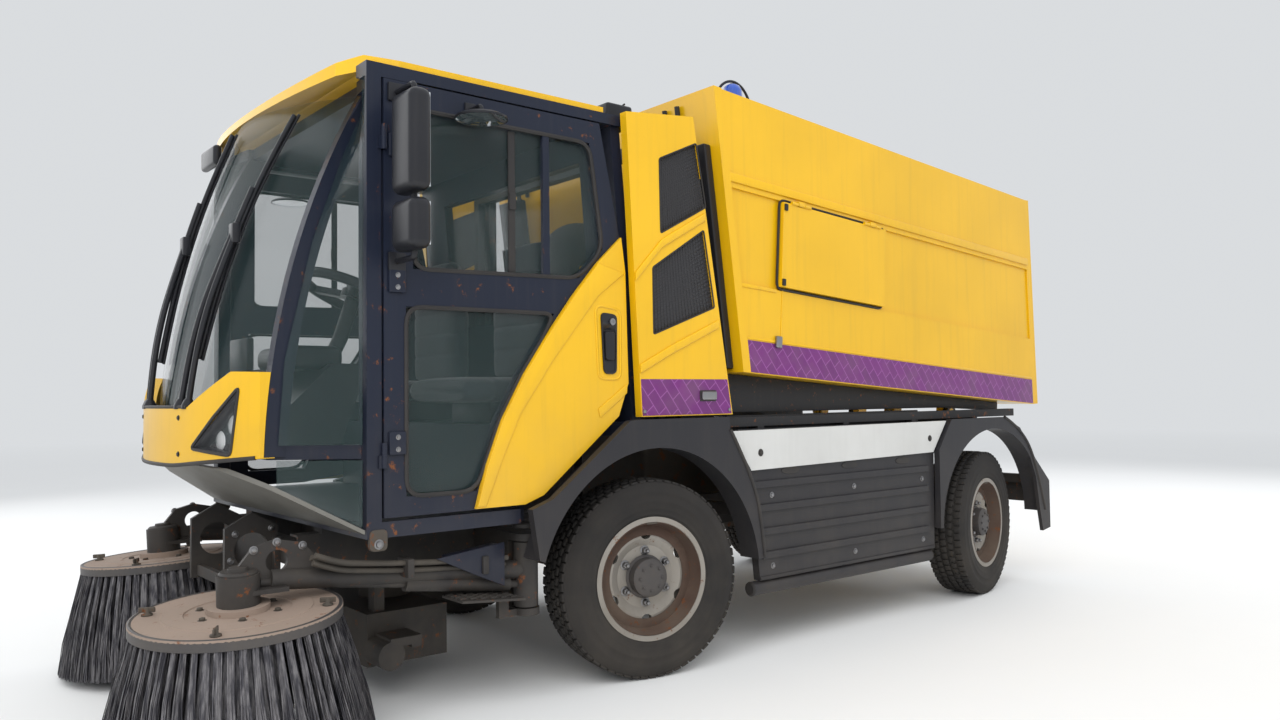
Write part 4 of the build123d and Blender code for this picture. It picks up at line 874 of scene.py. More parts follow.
    def mesh_and_wire(self):
        """Perforated grilles and steel bristles."""
        grille = Finish("grille_mesh", (0.012, 0.012, 0.014), 0.5)
        # The perforation pattern is real; the near-black colour of the hole dots is painted shade seen
        # through the holes
        holes = grille.node(
            "ShaderNodeTexVoronoi", Vector=grille.place((1, 1, 1)), Scale=140.0, Randomness=0.0
        )
        grille.set(
            "Base Color",
            grille.over(
                grille.span(holes.outputs["Distance"], 0.30, 0.42, 0, 1),
                (0.003, 0.003, 0.004),
                (0.030, 0.029, 0.031),
            ),
        )
        grille.bump(holes.outputs["Distance"], 0.6, 0.002)
        wire = Finish("bristle_wire", (0.045, 0.043, 0.048), 0.45, 0.35)
        wire.set(
            "Base Color",
            wire.over(
                wire.span(wire.noise(75, 3, (1, 1, 0.1)), 0.4, 0.65, 0, 1),
                (0.050, 0.048, 0.056),
                (0.200, 0.190, 0.195),
            ),
        )
        wire.set("Roughness", wire.span(wire.noise(60, 4), 0.3, 0.7, 0.35, 0.6))
        wire.bump(wire.noise(900, 2, (1, 1, 0.05)), 0.5)

    def lenses(self):
        """Lamp lenses, mirror glass, bright metal and the two finishes inside a wheel."""
        for name, colour in (
            ("red_lens", (0.42, 0.012, 0.010)),
            ("amber_lens", (0.80, 0.20, 0.01)),
            ("blue_lens", (0.02, 0.08, 0.45)),
        ):
            lens = Finish(name, colour, 0.12, Coat_Weight=1.0)
            rib = lens.node("ShaderNodeTexWave", Vector=lens.place(), Scale=60.0)
            lens.set(
                "Base Color",
                lens.over(
                    lens.span(lens.noise(30, 4), 0.4, 0.7, 0, 0.5), colour, tuple(c * 0.6 for c in colour)
                ),
            )
            lens.bump(rib.outputs["Fac"], 0.2, 0.001)
        silver = Finish("mirror_silver", (0.82, 0.84, 0.86), 0.03, 1.0)
        silver.set("Roughness", silver.span(silver.noise(18, 5), 0.4, 0.8, 0.02, 0.12))
        bright = weathered(
            "bright_metal", (0.34, 0.34, 0.35), 0.38, 1.0, dust=0.3, dust_top=1.6, chips=0.35, relief=0.1
        )
        bright.set("Metallic", 1.0)
        weathered(
            "rust_brown", (0.070, 0.036, 0.026), 0.85, 0.1, dust=0.5, dust_top=0.9, chips=0.8, relief=0.5
        )
        weathered("hub_grey", (0.060, 0.058, 0.062), 0.5, 0.4, dust=0.4, dust_top=0.9, chips=0.3, relief=0.2)

    def rubber(self):
        """Tyre rubber and the rubber of seals."""
        tyre = weathered(
            "tyre_rubber",
            (0.020, 0.0195, 0.020),
            0.78,
            dust=0.18,
            dust_top=1.0,
            streaks=0,
            grain=260,
            relief=0.22,
        )
        tyre.set("Specular IOR Level", 0.22)
        weathered("seal_rubber", (0.012, 0.012, 0.014), 0.6, dust=0.2, dust_top=3.0, streaks=0, relief=0.1)


class SWEEPER_OT_tyres(bpy.types.Operator):
    """Turn the tyres with ribbed walls and a blocked tread"""

    bl_idname = "sweeper.tyres"
    bl_label = "Tyres"

    def execute(self, context):
        """Model one tyre and stand a copy at each corner."""
        sizes = context.scene.sweeper_sizes
        floor = TYRE_R - sizes.tread
        wall = [
            (0.074, 0.2225), (0.086, 0.2235), (0.0925, 0.232), (0.0965, 0.243), (0.0995, 0.2455),
            (0.1000, 0.2495), (0.1005, 0.262), (0.1030, 0.2655), (0.1035, 0.270), (0.1040, 0.290),
            (0.1054, 0.293), (0.1054, 0.300), (0.1040, 0.303), (0.1028, 0.325), (0.1040, 0.3285),
            (0.1020, 0.336), (0.0985, 0.349), (0.0935, 0.360), (0.0880, floor - 0.0015), (0.0500, floor),
        ]  # fmt: skip
        carcass = turned(wall + [(-x, r) for x, r in reversed(wall)], 96)
        rows = ((0, 0.030, TYRE_R, 8), (0.037, 0.027, 0.3795, -12), (0.0745, 0.033, 0.3770, 6))
        blocks = [carcass]
        for x, width, top, skew in rows + tuple((-x, w, t, -s) for x, w, t, s in rows[1:]):
            length = 2 * math.pi * top / sizes.tread_blocks * 0.80
            lump = brick((-width / 2, -length / 2, floor - 0.003), (width / 2, length / 2, top), 0.0015, 1)
            start = 0.5 if abs(x) == rows[1][0] else 0
            lay = Matrix.Translation((x, 0, 0))
            turns = [
                Matrix.Rotation((n + start) / sizes.tread_blocks * 2 * math.pi, 4, "X")
                @ lay
                @ Matrix.Rotation(math.radians(skew), 4, "Z")
                for n in range(sizes.tread_blocks)
            ]
            blocks.append(repeat(lump, turns))
        tyre = joined(blocks)
        for corner in STEER:
            twin = copy_of(tyre, corner_matrix(corner))
            hand_over(twin, f"tread_{corner}", f"wheel_{corner}", "tyre_rubber", [f"tyre_{corner}"])
        bpy.data.objects.remove(tyre)
        return {"FINISHED"}


class SWEEPER_OT_wheels(bpy.types.Operator):
    """Line the wheels with rust and add hub caps, studs and nuts"""

    bl_idname = "sweeper.wheels"
    bl_label = "Wheels"

    def execute(self, context):
        """Model one set and stand a copy at each corner."""
        liner = turned(WHEEL_LINER, 72)
        cap = turned(HUB_CAP)
        ring = [math.radians(60 * n + 30) for n in range(6)]
        studs = [((0.0295, STUD_R * math.cos(a), STUD_R * math.sin(a)), (1, 0, 0)) for a in ring]
        nuts = repeat(hex_head(0.0145, 0.020), [aim(*stud) for stud in studs])
        tips = turned([(0.0, 0.0), (0.0, 0.008), (0.030, 0.008), (0.033, 0.006), (0.033, 0.0)], 12)
        tips = repeat(tips, [aim(*stud) for stud in studs])
        small = [math.radians(45 * n) for n in range(8)]
        screws = repeat(
            hex_head(0.006, 0.005),
            [aim((0.0862, CAP_SCREW_R * math.cos(a), CAP_SCREW_R * math.sin(a)), (1, 0, 0)) for a in small],
        )
        weight = brick((0.088, -0.024, 0.2075), (0.098, 0.024, 0.2150), 0.002)
        parts = (
            ("barrel", liner, "rust_brown"),
            ("hub_cap", joined([cap, screws]), "hub_grey"),
            ("wheel_nuts", joined([nuts, tips]), "bright_metal"),
            ("wheel_weight", weight, "axle_iron"),
        )
        for name, piece, finish in parts:
            for corner in STEER:
                hand_over(
                    copy_of(piece, corner_matrix(corner)), f"{name}_{corner}", f"wheel_{corner}", finish
                )
            bpy.data.objects.remove(piece)
        return {"FINISHED"}


class SWEEPER_OT_brushes(bpy.types.Operator):
    """Set the bristles and fit the brush discs with their bolts"""

    bl_idname = "sweeper.brushes"
    bl_label = "Brushes"

    def execute(self, context):
        """Grow the bristles of each brush and dress both discs."""
        for hand in HANDS:
            wires = self.bristles(context.scene.sweeper_sizes.tufts, 11 + HANDS[hand])
            place = brush_matrix(hand)
            body = f"brush_{hand}"
            hand_over(
                shift(wires, place), f"bristles_{hand}", body, "bristle_wire", [f"brush_bristles_{hand}"]
            )
            upright = place @ Matrix.Rotation(math.radians(-90), 4, "Y")
            hand_over(shift(turned(DISC_RIM, 96), upright), f"disc_rim_{hand}", body, "hub_grey")
            hand_over(shift(turned(DISC_STEP, 64), upright), f"disc_step_{hand}", body, "disc_dust")
            self.wing_bolts(hand, place)
        return {"FINISHED"}

    def bristles(self, tufts, seed):
        """Curved three-sided wires in tufts, four rings deep, modelled about Z."""
        draw = np.random.default_rng(seed)
        ring = np.repeat(np.arange(BRISTLE_RINGS), tufts * TUFT_WIRES)
        tuft = np.tile(np.repeat(np.arange(tufts), TUFT_WIRES), BRISTLE_RINGS)
        count = len(ring)
        bearing = (tuft + 0.5 * (ring % 2)) / tufts * 2 * np.pi + draw.normal(0, 0.0125, count)
        top = BRISTLE_TOP_R + ring * 0.0250 + draw.normal(0, 0.003, count)
        splay = BRISTLE_FOOT_R + ring * 0.0310 + draw.normal(0, 0.008, count)
        sweep = draw.normal(0.0, 0.035, count) + 0.05
        foot = BRISTLE_FOOT_Z + np.abs(draw.normal(0, 0.006, count))
        levels = np.array([0, 0.35, 0.7, 1.0])
        rings = []
        for t in levels:
            radius = np.minimum(top + (splay - top) * t**0.85, BRISTLE_REACH)
            angle = bearing + sweep * t**2
            height = BRISTLE_TOP_Z + (foot - BRISTLE_TOP_Z) * t
            centre = np.stack([radius * np.cos(angle), radius * np.sin(angle), height], axis=1)
            along = np.stack([-np.sin(angle), np.cos(angle), np.zeros(count)], axis=1)
            inward = np.stack([-np.cos(angle), -np.sin(angle), np.zeros(count)], axis=1)
            thick = 0.0021 - 0.0006 * t
            rings.append(
                [centre + thick * (along * math.sin(a) + inward * math.cos(a)) for a in WIRE_SIDES]
            )
        points = np.stack([np.stack(three, axis=1) for three in rings], axis=1).reshape(-1, 3)
        faces = []
        for start in range(0, count * 12, 12):
            for level in range(3):
                for k in range(3):
                    low, side = start + level * 3, (k + 1) % 3
                    faces.append((low + k, low + side, low + 3 + side, low + 3 + k))
            faces += [(start + 2, start + 1, start), (start + 9, start + 10, start + 11)]
        mesh = bpy.data.meshes.new("bristles")
        mesh.from_pydata(points, [], faces)
        mesh.update()
        piece = bpy.data.objects.new("bristles", mesh)
        bpy.context.scene.collection.objects.link(piece)
        return outward(piece)

    def wing_bolts(self, hand, place):
        """Four bolts with wings near the disc's edge, and the motor's flange bolts."""
        post = turned(WING_POST, 16)
        wing = brick((0.010, -0.024, -0.003), (0.026, 0.024, 0.003), 0.003, 3)
        bolt = joined([post, wing])
        spots = around(place, (WING_BOLT_R, 0, 0.005), (12, 102, 192, 282))
        hand_over(repeat(bolt, spots), f"wing_bolts_{hand}", f"brush_{hand}", "axle_iron")
        heads = around(place, (DISC_BOLT_R, 0, 0.0055), range(0, 360, 60))
        hand_over(repeat(hex_head(0.010, 0.008), heads), f"disc_bolts_{hand}", f"brush_{hand}", "axle_iron")


class SWEEPER_OT_arms(bpy.types.Operator):
    """Dress the brush arms with clipped lines, castings and bolts"""

    bl_idname = "sweeper.arms"
    bl_label = "Brush arms"

    def execute(self, context):
        """Dress the arm on each side."""
        for hand, side in HANDS.items():
            body = f"brush_arm_{hand}"
            head = BRUSHES[hand][1]
            reach = [
                (-0.62, 0.505), (-0.90, 0.520), (-1.16, 0.548), (head + 0.27, 0.560), (head + 0.20, 0.590)
            ]
            lines = []
            for k, drop in ((0, 0.0), (1, -0.014), (2, 0.011)):
                x = side * (0.712 + 0.017 * k) - side * 0.010
                lines.append(pipe([axle(x, y, z + drop) for y, z in reach], 0.0095))
            hand_over(joined(lines), f"arm_lines_{hand}", body, "hose_rubber")
            clips = []
            for y, z in ((-0.72, 0.509), (-1.00, 0.531)):
                clips.append(block(side, (0.680, y - 0.012, z - 0.036), (0.762, y + 0.012, z + 0.026), 0.004))
            hand_over(joined(clips), f"line_clips_{hand}", body, "chassis_black")
            casting = side_slab(
                side,
                [(-0.905, 0.545), (-0.640, 0.574), (-0.640, 0.420), (-0.760, 0.475)],
                0.7445,
                0.7520,
                0.003,
            )
            web = side_slab(
                side,
                [(-0.860, 0.548), (-0.660, 0.570), (-0.660, 0.558), (-0.860, 0.534)],
                0.7000,
                0.7460,
                0.003,
            )
            hand_over(joined([casting, web]), f"pivot_casting_{hand}", body, "navy")
            plate = [
                axle(side * 0.6425, head + y, z)
                for y, z in ((0.02, 0.535), (0.20, 0.535), (0.19, 0.625), (0.11, 0.643), (0.04, 0.625))
            ]
            heads = [(point, (side, 0, 0)) for point in plate]
            bolts(
                f"head_bolts_{hand}",
                body,
                [(p + Vector((side * 0.0175, 0, 0)), n) for p, n in heads],
                0.010,
                0.008,
            )
            place = aim(axle(side * ARM_PIVOT[0], ARM_PIVOT[1], 0.612), (0, 0, 1))
            hand_over(shift(turned(PIVOT_CAP, 32), place), f"pivot_cap_{hand}", body, "chassis_black")
            place = brush_matrix(hand) @ aim((0, 0, 0.070), (0, 0, 1))
            hand_over(shift(turned(MOTOR_CAP, 32), place), f"motor_cap_{hand}", body, "chassis_black")
        return {"FINISHED"}


class SWEEPER_OT_wipers(bpy.types.Operator):
    """Bend the wipers over the curved screen"""

    bl_idname = "sweeper.wipers"
    bl_label = "Wipers"

    def execute(self, context):
        """Model both wipers in place of the plain ones."""
        parts = []
        for inner, outer, end_x, end_z in WIPERS:
            for foot, lead in ((inner, 0), (outer, 0.014)):
                route = [(foot, WIPER_FOOT_Z, 0.036)]
                for t in (0.2, 0.45, 0.7, 1.0):
                    lift = 0.036 + 0.010 * math.sin(math.pi * t)
                    route.append(
                        (foot + (end_x + lead - foot) * t, WIPER_FOOT_Z + (end_z - WIPER_FOOT_Z) * t, lift)
                    )
                parts.append(pipe([on_screen(*point) for point in route], 0.0100))
                shroud = turned(
                    [(0, 0), (0, 0.022), (0.012, 0.022), (0.030, 0.014), (0.036, 0.008), (0.036, 0)], 24
                )
                point = on_screen(foot, WIPER_FOOT_Z, 0.036)
                parts.append(shift(shroud, aim(point - Vector((0, 0, 0.012)), (0, 0, 1))))
            tip = on_screen(end_x + 0.007, end_z, 0.034)
            parts.append(
                brick(tip - Vector((0.024, 0.014, 0.034)), tip + Vector((0.024, 0.014, 0.034)), 0.006)
            )
            for reach, ahead, radius in ((0.42, 0.024, 0.0085), (0.425, 0.011, 0.0050), (0.16, 0.034, 0.010)):
                line = [
                    on_screen(end_x + 0.06 * t * reach / 0.42, end_z + reach * t, ahead)
                    for t in (-1, -0.6, -0.2, 0.2, 0.6, 1)
                ]
                parts.append(pipe(line, radius))
        hand_over(joined(parts), "wiper_gear", "chassis", "black_plastic", ["wipers"])
        return {"FINISHED"}


class SWEEPER_OT_mirrors(bpy.types.Operator):
    """Shell the mirrors, with glass, arms and feet"""

    bl_idname = "sweeper.mirrors"
    bl_label = "Mirrors"

    def execute(self, context):
        """Model the mirrors of both doors and the kerb mirror."""
        for hand, side in HANDS.items():
            body = f"door_{hand}"
            parts = [
                pipe(self.bent(MIRROR_ARM, side, -1.070), 0.0095),
                pipe(self.bent(TOP_MIRROR_ARM, side, -0.800), 0.008),
            ]
            for z in (1.520, 2.070):
                parts.append(block(side, (0.799, -1.100, z - 0.030), (0.812, -1.040, z + 0.030), 0.004))
            parts.append(block(side, (0.799, -0.820, 2.035), (0.810, -0.780, 2.085), 0.004))
            faces = []
            for low, high in MIRRORS:
                shell = block(side, (0.852, -1.118, low), (1.008, -1.044, high), 0.028, 5)
                recess = block(side, (0.862, -1.052, low + 0.010), (0.998, -1.030, high - 0.010), 0.016, 4)
                parts.append(cut(shell, recess))
                faces.append(
                    block(side, (0.864, -1.053, low + 0.012), (0.996, -1.0475, high - 0.012), 0.0025)
                )
                for z in (low + 0.03, high - 0.03):
                    parts.append(block(side, (0.915, -1.090, z - 0.010), (0.945, -1.050, z + 0.010), 0.004))
            back = turned([(0, 0), (0, 0.070), (0.010, 0.089), (0.017, 0.089), (0.017, 0)], 40)
            parts.append(shift(back, aim(axle(side * 0.880, -0.800, 2.028), (0, 0, -1))))
            dish = turned([(0, 0), (0, 0.086), (0.006, 0.070), (0.012, 0.040), (0.0135, 0)], 40)
            faces.append(shift(dish, aim(axle(side * 0.880, -0.800, 2.0115), (0, 0, -1))))
            hand_over(joined(parts), f"mirror_shells_{hand}", body, "black_plastic", [f"mirrors_{hand}"])
            hand_over(joined(faces), f"mirror_faces_{hand}", body, "mirror_silver")
        shell = brick(axle(-0.580, -1.290, 2.036), axle(-0.390, -1.256, 2.120), 0.016, 4)
        stalk = pipe(
            [
                axle(-0.480, y, z)
                for y, z in ((-1.190, 2.1415), (-1.190, 2.105), (-1.200, 2.096), (-1.262, 2.085))
            ],
            0.008,
        )
        hand_over(joined([shell, stalk]), "kerb_mirror_shell", "chassis", "black_plastic", ["kerb_mirror"])
        face = brick(axle(-0.570, -1.258, 2.046), axle(-0.400, -1.2545, 2.110), 0.0016)
        hand_over(face, "kerb_mirror_face", "chassis", "mirror_silver")
        return {"FINISHED"}

    def bent(self, line, side, y):
        """Points of a tube with tight corners in an upright cross plane."""
        points = [Vector((side * x, 0, z)) for x, z in line]
        made = [points[0]]
        for before, corner, after in zip(points, points[1:], points[2:]):
            made += [
                corner + (before - corner).normalized() * 0.03,
                corner,
                corner + (after - corner).normalized() * 0.03,
            ]
        return [axle(point.x, y, point.z) for point in made + [points[-1]]]


class SWEEPER_OT_doors(bpy.types.Operator):
    """Trim the doors with seals, pressed panel, handle and hinges"""

    bl_idname = "sweeper.doors"
    bl_label = "Doors"

    def execute(self, context):
        """Trim both doors."""
        for hand, side in HANDS.items():
            body = f"door_{hand}"
            seals = []
            for outline in (LOW_WINDOW, HIGH_WINDOW):
                seals.append(bead(on_side(side, DOOR_FRAME_X, rounded(outline, 0.06, 5)), 0.008))
            hand_over(joined(seals), f"window_seals_{hand}", body, "seal_rubber")
            band = side_slab(side, WINDOW_EDGE + DOOR_CREASE[::-1], DOOR_PANEL_X, 0.8195, 0.003, 3)
            ring = bead(on_side(side, 0.8130, rounded(HANDLE_RING, 0.030)), 0.0055)
            low = side_slab(
                side,
                [(-0.130, 1.129), (-0.134, 1.090), (-0.262, 1.000), (-0.272, 1.033)],
                DOOR_PANEL_X,
                0.8185,
                0.003,
                3,
            )
            hand_over(joined([band, low, ring]), f"door_pressing_{hand}", body, "yellow")
            bowl = side_slab(side, rounded(HANDLE_RECESS, 0.022), DOOR_PANEL_X, 0.8215, 0.003)
            hollow = side_slab(
                side,
                rounded([(-0.250, 1.330), (-0.189, 1.330), (-0.192, 1.171), (-0.240, 1.171)], 0.016),
                HANDLE_X,
                0.826,
                0.0005,
            )
            hand_over(cut(bowl, hollow), f"handle_bowl_{hand}", body, "black_plastic")
            grip = side_slab(
                side,
                rounded([(-0.243, 1.322), (-0.196, 1.322), (-0.198, 1.215), (-0.238, 1.215)], 0.012),
                HANDLE_X,
                0.8275,
                0.004,
                3,
            )
            hand_over(grip, f"handle_grip_{hand}", body, "black_plastic")
            lock = shift(
                turned([(0, 0), (0, 0.014), (0.006, 0.013), (0.007, 0.005), (0.005, 0.004), (0.005, 0)], 24),
                aim(axle(side * 0.8205, -0.206, 1.360), (side, 0, 0)),
            )
            hand_over(lock, f"door_lock_{hand}", body, "bright_metal")
            covers = [block(side, (0.797, -1.098, z), (0.812, -1.040, z + 0.075), 0.005, 3) for z in HINGE_Z]
            hand_over(joined(covers), f"hinge_covers_{hand}", body, "navy")
            screws = [
                (axle(side * 0.812, -1.069, z + dz), (side, 0, 0)) for z in HINGE_Z for dz in (0.018, 0.057)
            ]
            bolts(f"hinge_screws_{hand}", body, screws, 0.0065, 0.004)
            slides = [block(side, (0.785, -0.640, 1.515), (0.7915, -0.612, 2.020), 0.002)]
            slides.append(block(side, (0.7915, -0.640, 1.740), (DOOR_FRAME_X, -0.612, 1.800), 0.003))
            hand_over(joined(slides), f"window_slide_{hand}", body, "seal_rubber")
        return {"FINISHED"}


class SWEEPER_OT_nose(bpy.types.Operator):
    """Fit lamps, bezels and lips to the nose"""

    bl_idname = "sweeper.nose"
    bl_label = "Nose and lamps"

    def execute(self, context):
        """Fit both lamp pockets and the lips across the nose."""
        backs, bowls, lenses, ambers, bezels = [], [], [], [], []
        for side in HANDS.values():
            corners = [on_nose(side * x, z, 1.112) for x, z in LAMP_POCKET]
            backs.append(slab(corners, (0, 0.006, 0), 0.001, 1))
            liner = slab([on_nose(side * x, z, 1.189) for x, z in LAMP_LINER[0]], (0, 0.050, 0), 0.0004, 1)
            hole = slab([on_nose(side * x, z, 1.225) for x, z in LAMP_LINER[1]], (0, 0.150, 0), 0.0004, 1)
            backs.append(cut(liner, hole))
            for x, z, radius in POCKET_LAMPS:
                point = on_nose(side * x, z, 1.143)
                ahead = (side * x * 0.45, -1.0, 0)
                size = Matrix.Scale(radius / LAMP_BOWL[0][1], 4)
                place = aim(point, ahead) @ size
                bowl = joined([turned(LAMP_BOWL, 40), turned(LAMP_BULB, 20)])
                (ambers if radius < TURN_LAMP_LIMIT else bowls).append(shift(bowl, place))
                lenses.append(shift(turned(LAMP_LENS, 40), place))
            bezels.append(bead(self.along_pocket(side), 0.0055))
        lip = [
            on_nose(-0.590 + 1.180 * k / 12, 0.866 + 0.034 * max(0, abs(k - 6) / 6 - 0.34) / 0.66, 1.1895)
            for k in range(13)
        ]
        bezels.append(pipe(lip, 0.007))
        crown = [on_nose(-0.285 + 0.570 * k / 8, 1.061, 1.1885) for k in range(9)]
        bezels.append(pipe(crown, 0.006))
        hand_over(joined(backs), "lamp_backs", "chassis", "black_plastic")
        hand_over(joined(bowls), "lamp_bowls", "chassis", "mirror_silver")
        hand_over(joined(ambers), "turn_lamps", "chassis", "amber_lens")
        hand_over(joined(lenses), "lamp_lenses", "chassis", "lens_clear")
        hand_over(joined(bezels), "nose_beads", "chassis", "seal_rubber")
        spots = [
            (on_nose(x, z, NOSE_R), (x * 0.6, -1, 0))
            for x, z in ((-0.235, 0.905), (0.235, 0.905), (-0.235, 1.025), (0.235, 1.025))
        ]
        bolts("nose_screws", "chassis", spots, 0.007, 0.004, "seal_rubber")
        return {"FINISHED"}

    def along_pocket(self, side):
        """The lamp pocket's edge, laid on the nose's face."""
        points = []
        corners = rounded([(x, z) for x, z in LAMP_POCKET], 0.018, 3)
        for start, end in zip(corners, corners[1:] + corners[:1]):
            points += [tuple(Vector(start).lerp(Vector(end), t)) for t in (0, 0.5)]
        return [on_nose(side * x, z, NOSE_R) for x, z in points]


class SWEEPER_OT_interior(bpy.types.Operator):
    """Pad the seats and finish the wheel and dash"""

    bl_idname = "sweeper.interior"
    bl_label = "Cab inside"

    def execute(self, context):
        """Make seats in place of the plain ones, then the rest."""
        bases = []
        for name, x in SEAT_X.items():
            seat = cushion((x - 0.230, -0.700, 1.060), (x + 0.230, -0.262, 1.160), 1, 2, (0.30, 0.62))
            back = cushion((x - 0.215, -0.340, 1.165), (x + 0.215, -0.242, 1.560), 2, 1, (0.28, 0.52, 0.76))
            head = cushion((x - 0.130, -0.325, 1.575), (x + 0.130, -0.250, 1.698), 2, 1, ())
            for piece, label, replaced in (
                (seat, "seat_cushion", ["cab_seats"]), (back, "seat_back", ()), (head, "head_rest", ())
            ):
                hand_over(piece, f"{label}_{name}", "chassis", "seat_cloth", replaced)
            low = (x - 0.150, -0.550, 0.982)
            bases.append(brick(axle(*low), axle(x + 0.150, -0.300, 1.062), 0.006))
            for dx in (-0.06, 0.06):
                bases.append(pipe([axle(x + dx, -0.290, 1.555), axle(x + dx, -0.290, 1.580)], 0.006))
        hand_over(joined(bases), "seat_bases", "chassis", "black_plastic")
        rim = turned(
            [
                (0.0185 * math.cos(a), 0.1915 + 0.0185 * math.sin(a))
                for a in np.linspace(0, 2 * math.pi, 13)[:-1]
            ],
            64,
        )
        boss = turned([(-0.016, 0), (-0.016, 0.050), (0.012, 0.052), (0.020, 0.044), (0.023, 0)], 40)
        hub = axle(0.330, -1.010, 1.440) + Vector((0, 0.4, 0.92)).normalized() * 0.012
        hand_over(
            shift(joined([rim, boss]), aim(hub, (0, 0.4, 0.92))), "wheel_rim_grip", "chassis", "black_plastic"
        )
        pod = brick(axle(0.150, -1.300, 1.180), axle(0.510, -1.120, 1.262), 0.030, 4)
        knobs = [
            brick(axle(x, -1.098, 1.125), axle(x + 0.028, -1.084, 1.150), 0.003)
            for x in (-0.10, -0.06, -0.02, 0.02)
        ]
        screen = brick(axle(-0.480, -1.200, 1.198), axle(-0.260, -1.170, 1.330), 0.008)
        hand_over(joined([pod, screen] + knobs), "dash_top", "chassis", "black_plastic")
        return {"FINISHED"}


class SWEEPER_OT_cowls(bpy.types.Operator):
    """Trim the cowls with ridges, grille frames, band and lamps"""

    bl_idname = "sweeper.cowls"
    bl_label = "Cowls"

    def execute(self, context):
        """Trim both cowls and the box behind the cab."""
        for hand, side in HANDS.items():
            ridges = []
            for line in COWL_RIDGES:
                ridges.append(
                    side_slab(side, line + [(y, z - 0.034) for y, z in line[::-1]], 0.847, 0.8555, 0.004, 3)
                )
            hand_over(joined(ridges), f"cowl_ridges_{hand}", "chassis", "yellow")
            frames, bars = [], []
            for outline in GRILLES:
                frames.append(bead(on_side(side, COWL_X, rounded(outline, 0.010)), 0.0032))
                bars += self.bars(side, outline)
            hand_over(joined(frames), f"grille_frames_{hand}", "chassis", "seal_rubber")
            hand_over(joined(bars), f"grille_bars_{hand}", "chassis", "grille_mesh")
            band = side_slab(
                side,
                [(-0.084, 1.004), (0.394, 1.004), (0.371, 1.144), (-0.091, 1.144)],
                COWL_X,
                HOPPER_X,
                0.0006,
                1,
            )
            hand_over(band, f"cowl_band_{hand}", "chassis", "stripe_purple")
            seat = block(side, (0.8485, 0.214, 1.056), (0.853, 0.304, 1.100), 0.003)
            hand_over(seat, f"marker_seat_{hand}", "chassis", "seal_rubber")
            lamp = block(side, (0.852, 0.219, 1.061), (0.864, 0.299, 1.095), 0.005, 3)
            hand_over(lamp, f"marker_lamp_{hand}", "chassis", "bright_metal")
            spots = [(axle(side * 0.848, y, z), (side, 0, 0)) for y, z in ((-0.075, 1.020), (0.380, 1.020))]
            bolts(f"cowl_screws_{hand}", "chassis", spots, 0.008, 0.005)
        box = brick(axle(0.500, -0.115, 2.158), axle(0.690, 0.015, 2.250), 0.012, 3)
        rod = pipe([axle(0.600, 0.000, 2.245), axle(0.600, 0.028, 2.275), axle(0.600, 0.045, 2.288)], 0.004)
        hand_over(joined([box, rod]), "rear_box", "chassis", "black_plastic")
        return {"FINISHED"}

    def bars(self, side, outline):
        """A wire mesh between an outline's four edges."""
        front_top, rear_top, rear_low, front_low = (Vector(point) for point in outline)
        ends = []
        for k in range(1, 20):
            t = k / 20
            ends.append((front_low.lerp(rear_low, t), front_top.lerp(rear_top, t)))
            ends.append((front_low.lerp(front_top, t), rear_low.lerp(rear_top, t)))
        lines = [[axle(side * 0.8385, *point) for point in pair] for pair in ends]
        rod = brick((-0.5, -0.0014, -0.0014), (0.5, 0.0014, 0.0014), 0.0004, 1)
        places = [aim((a + b) / 2, b - a) @ Matrix.Diagonal(((b - a).length, 1, 1, 1)) for a, b in lines]
        return [repeat(rod, places)]


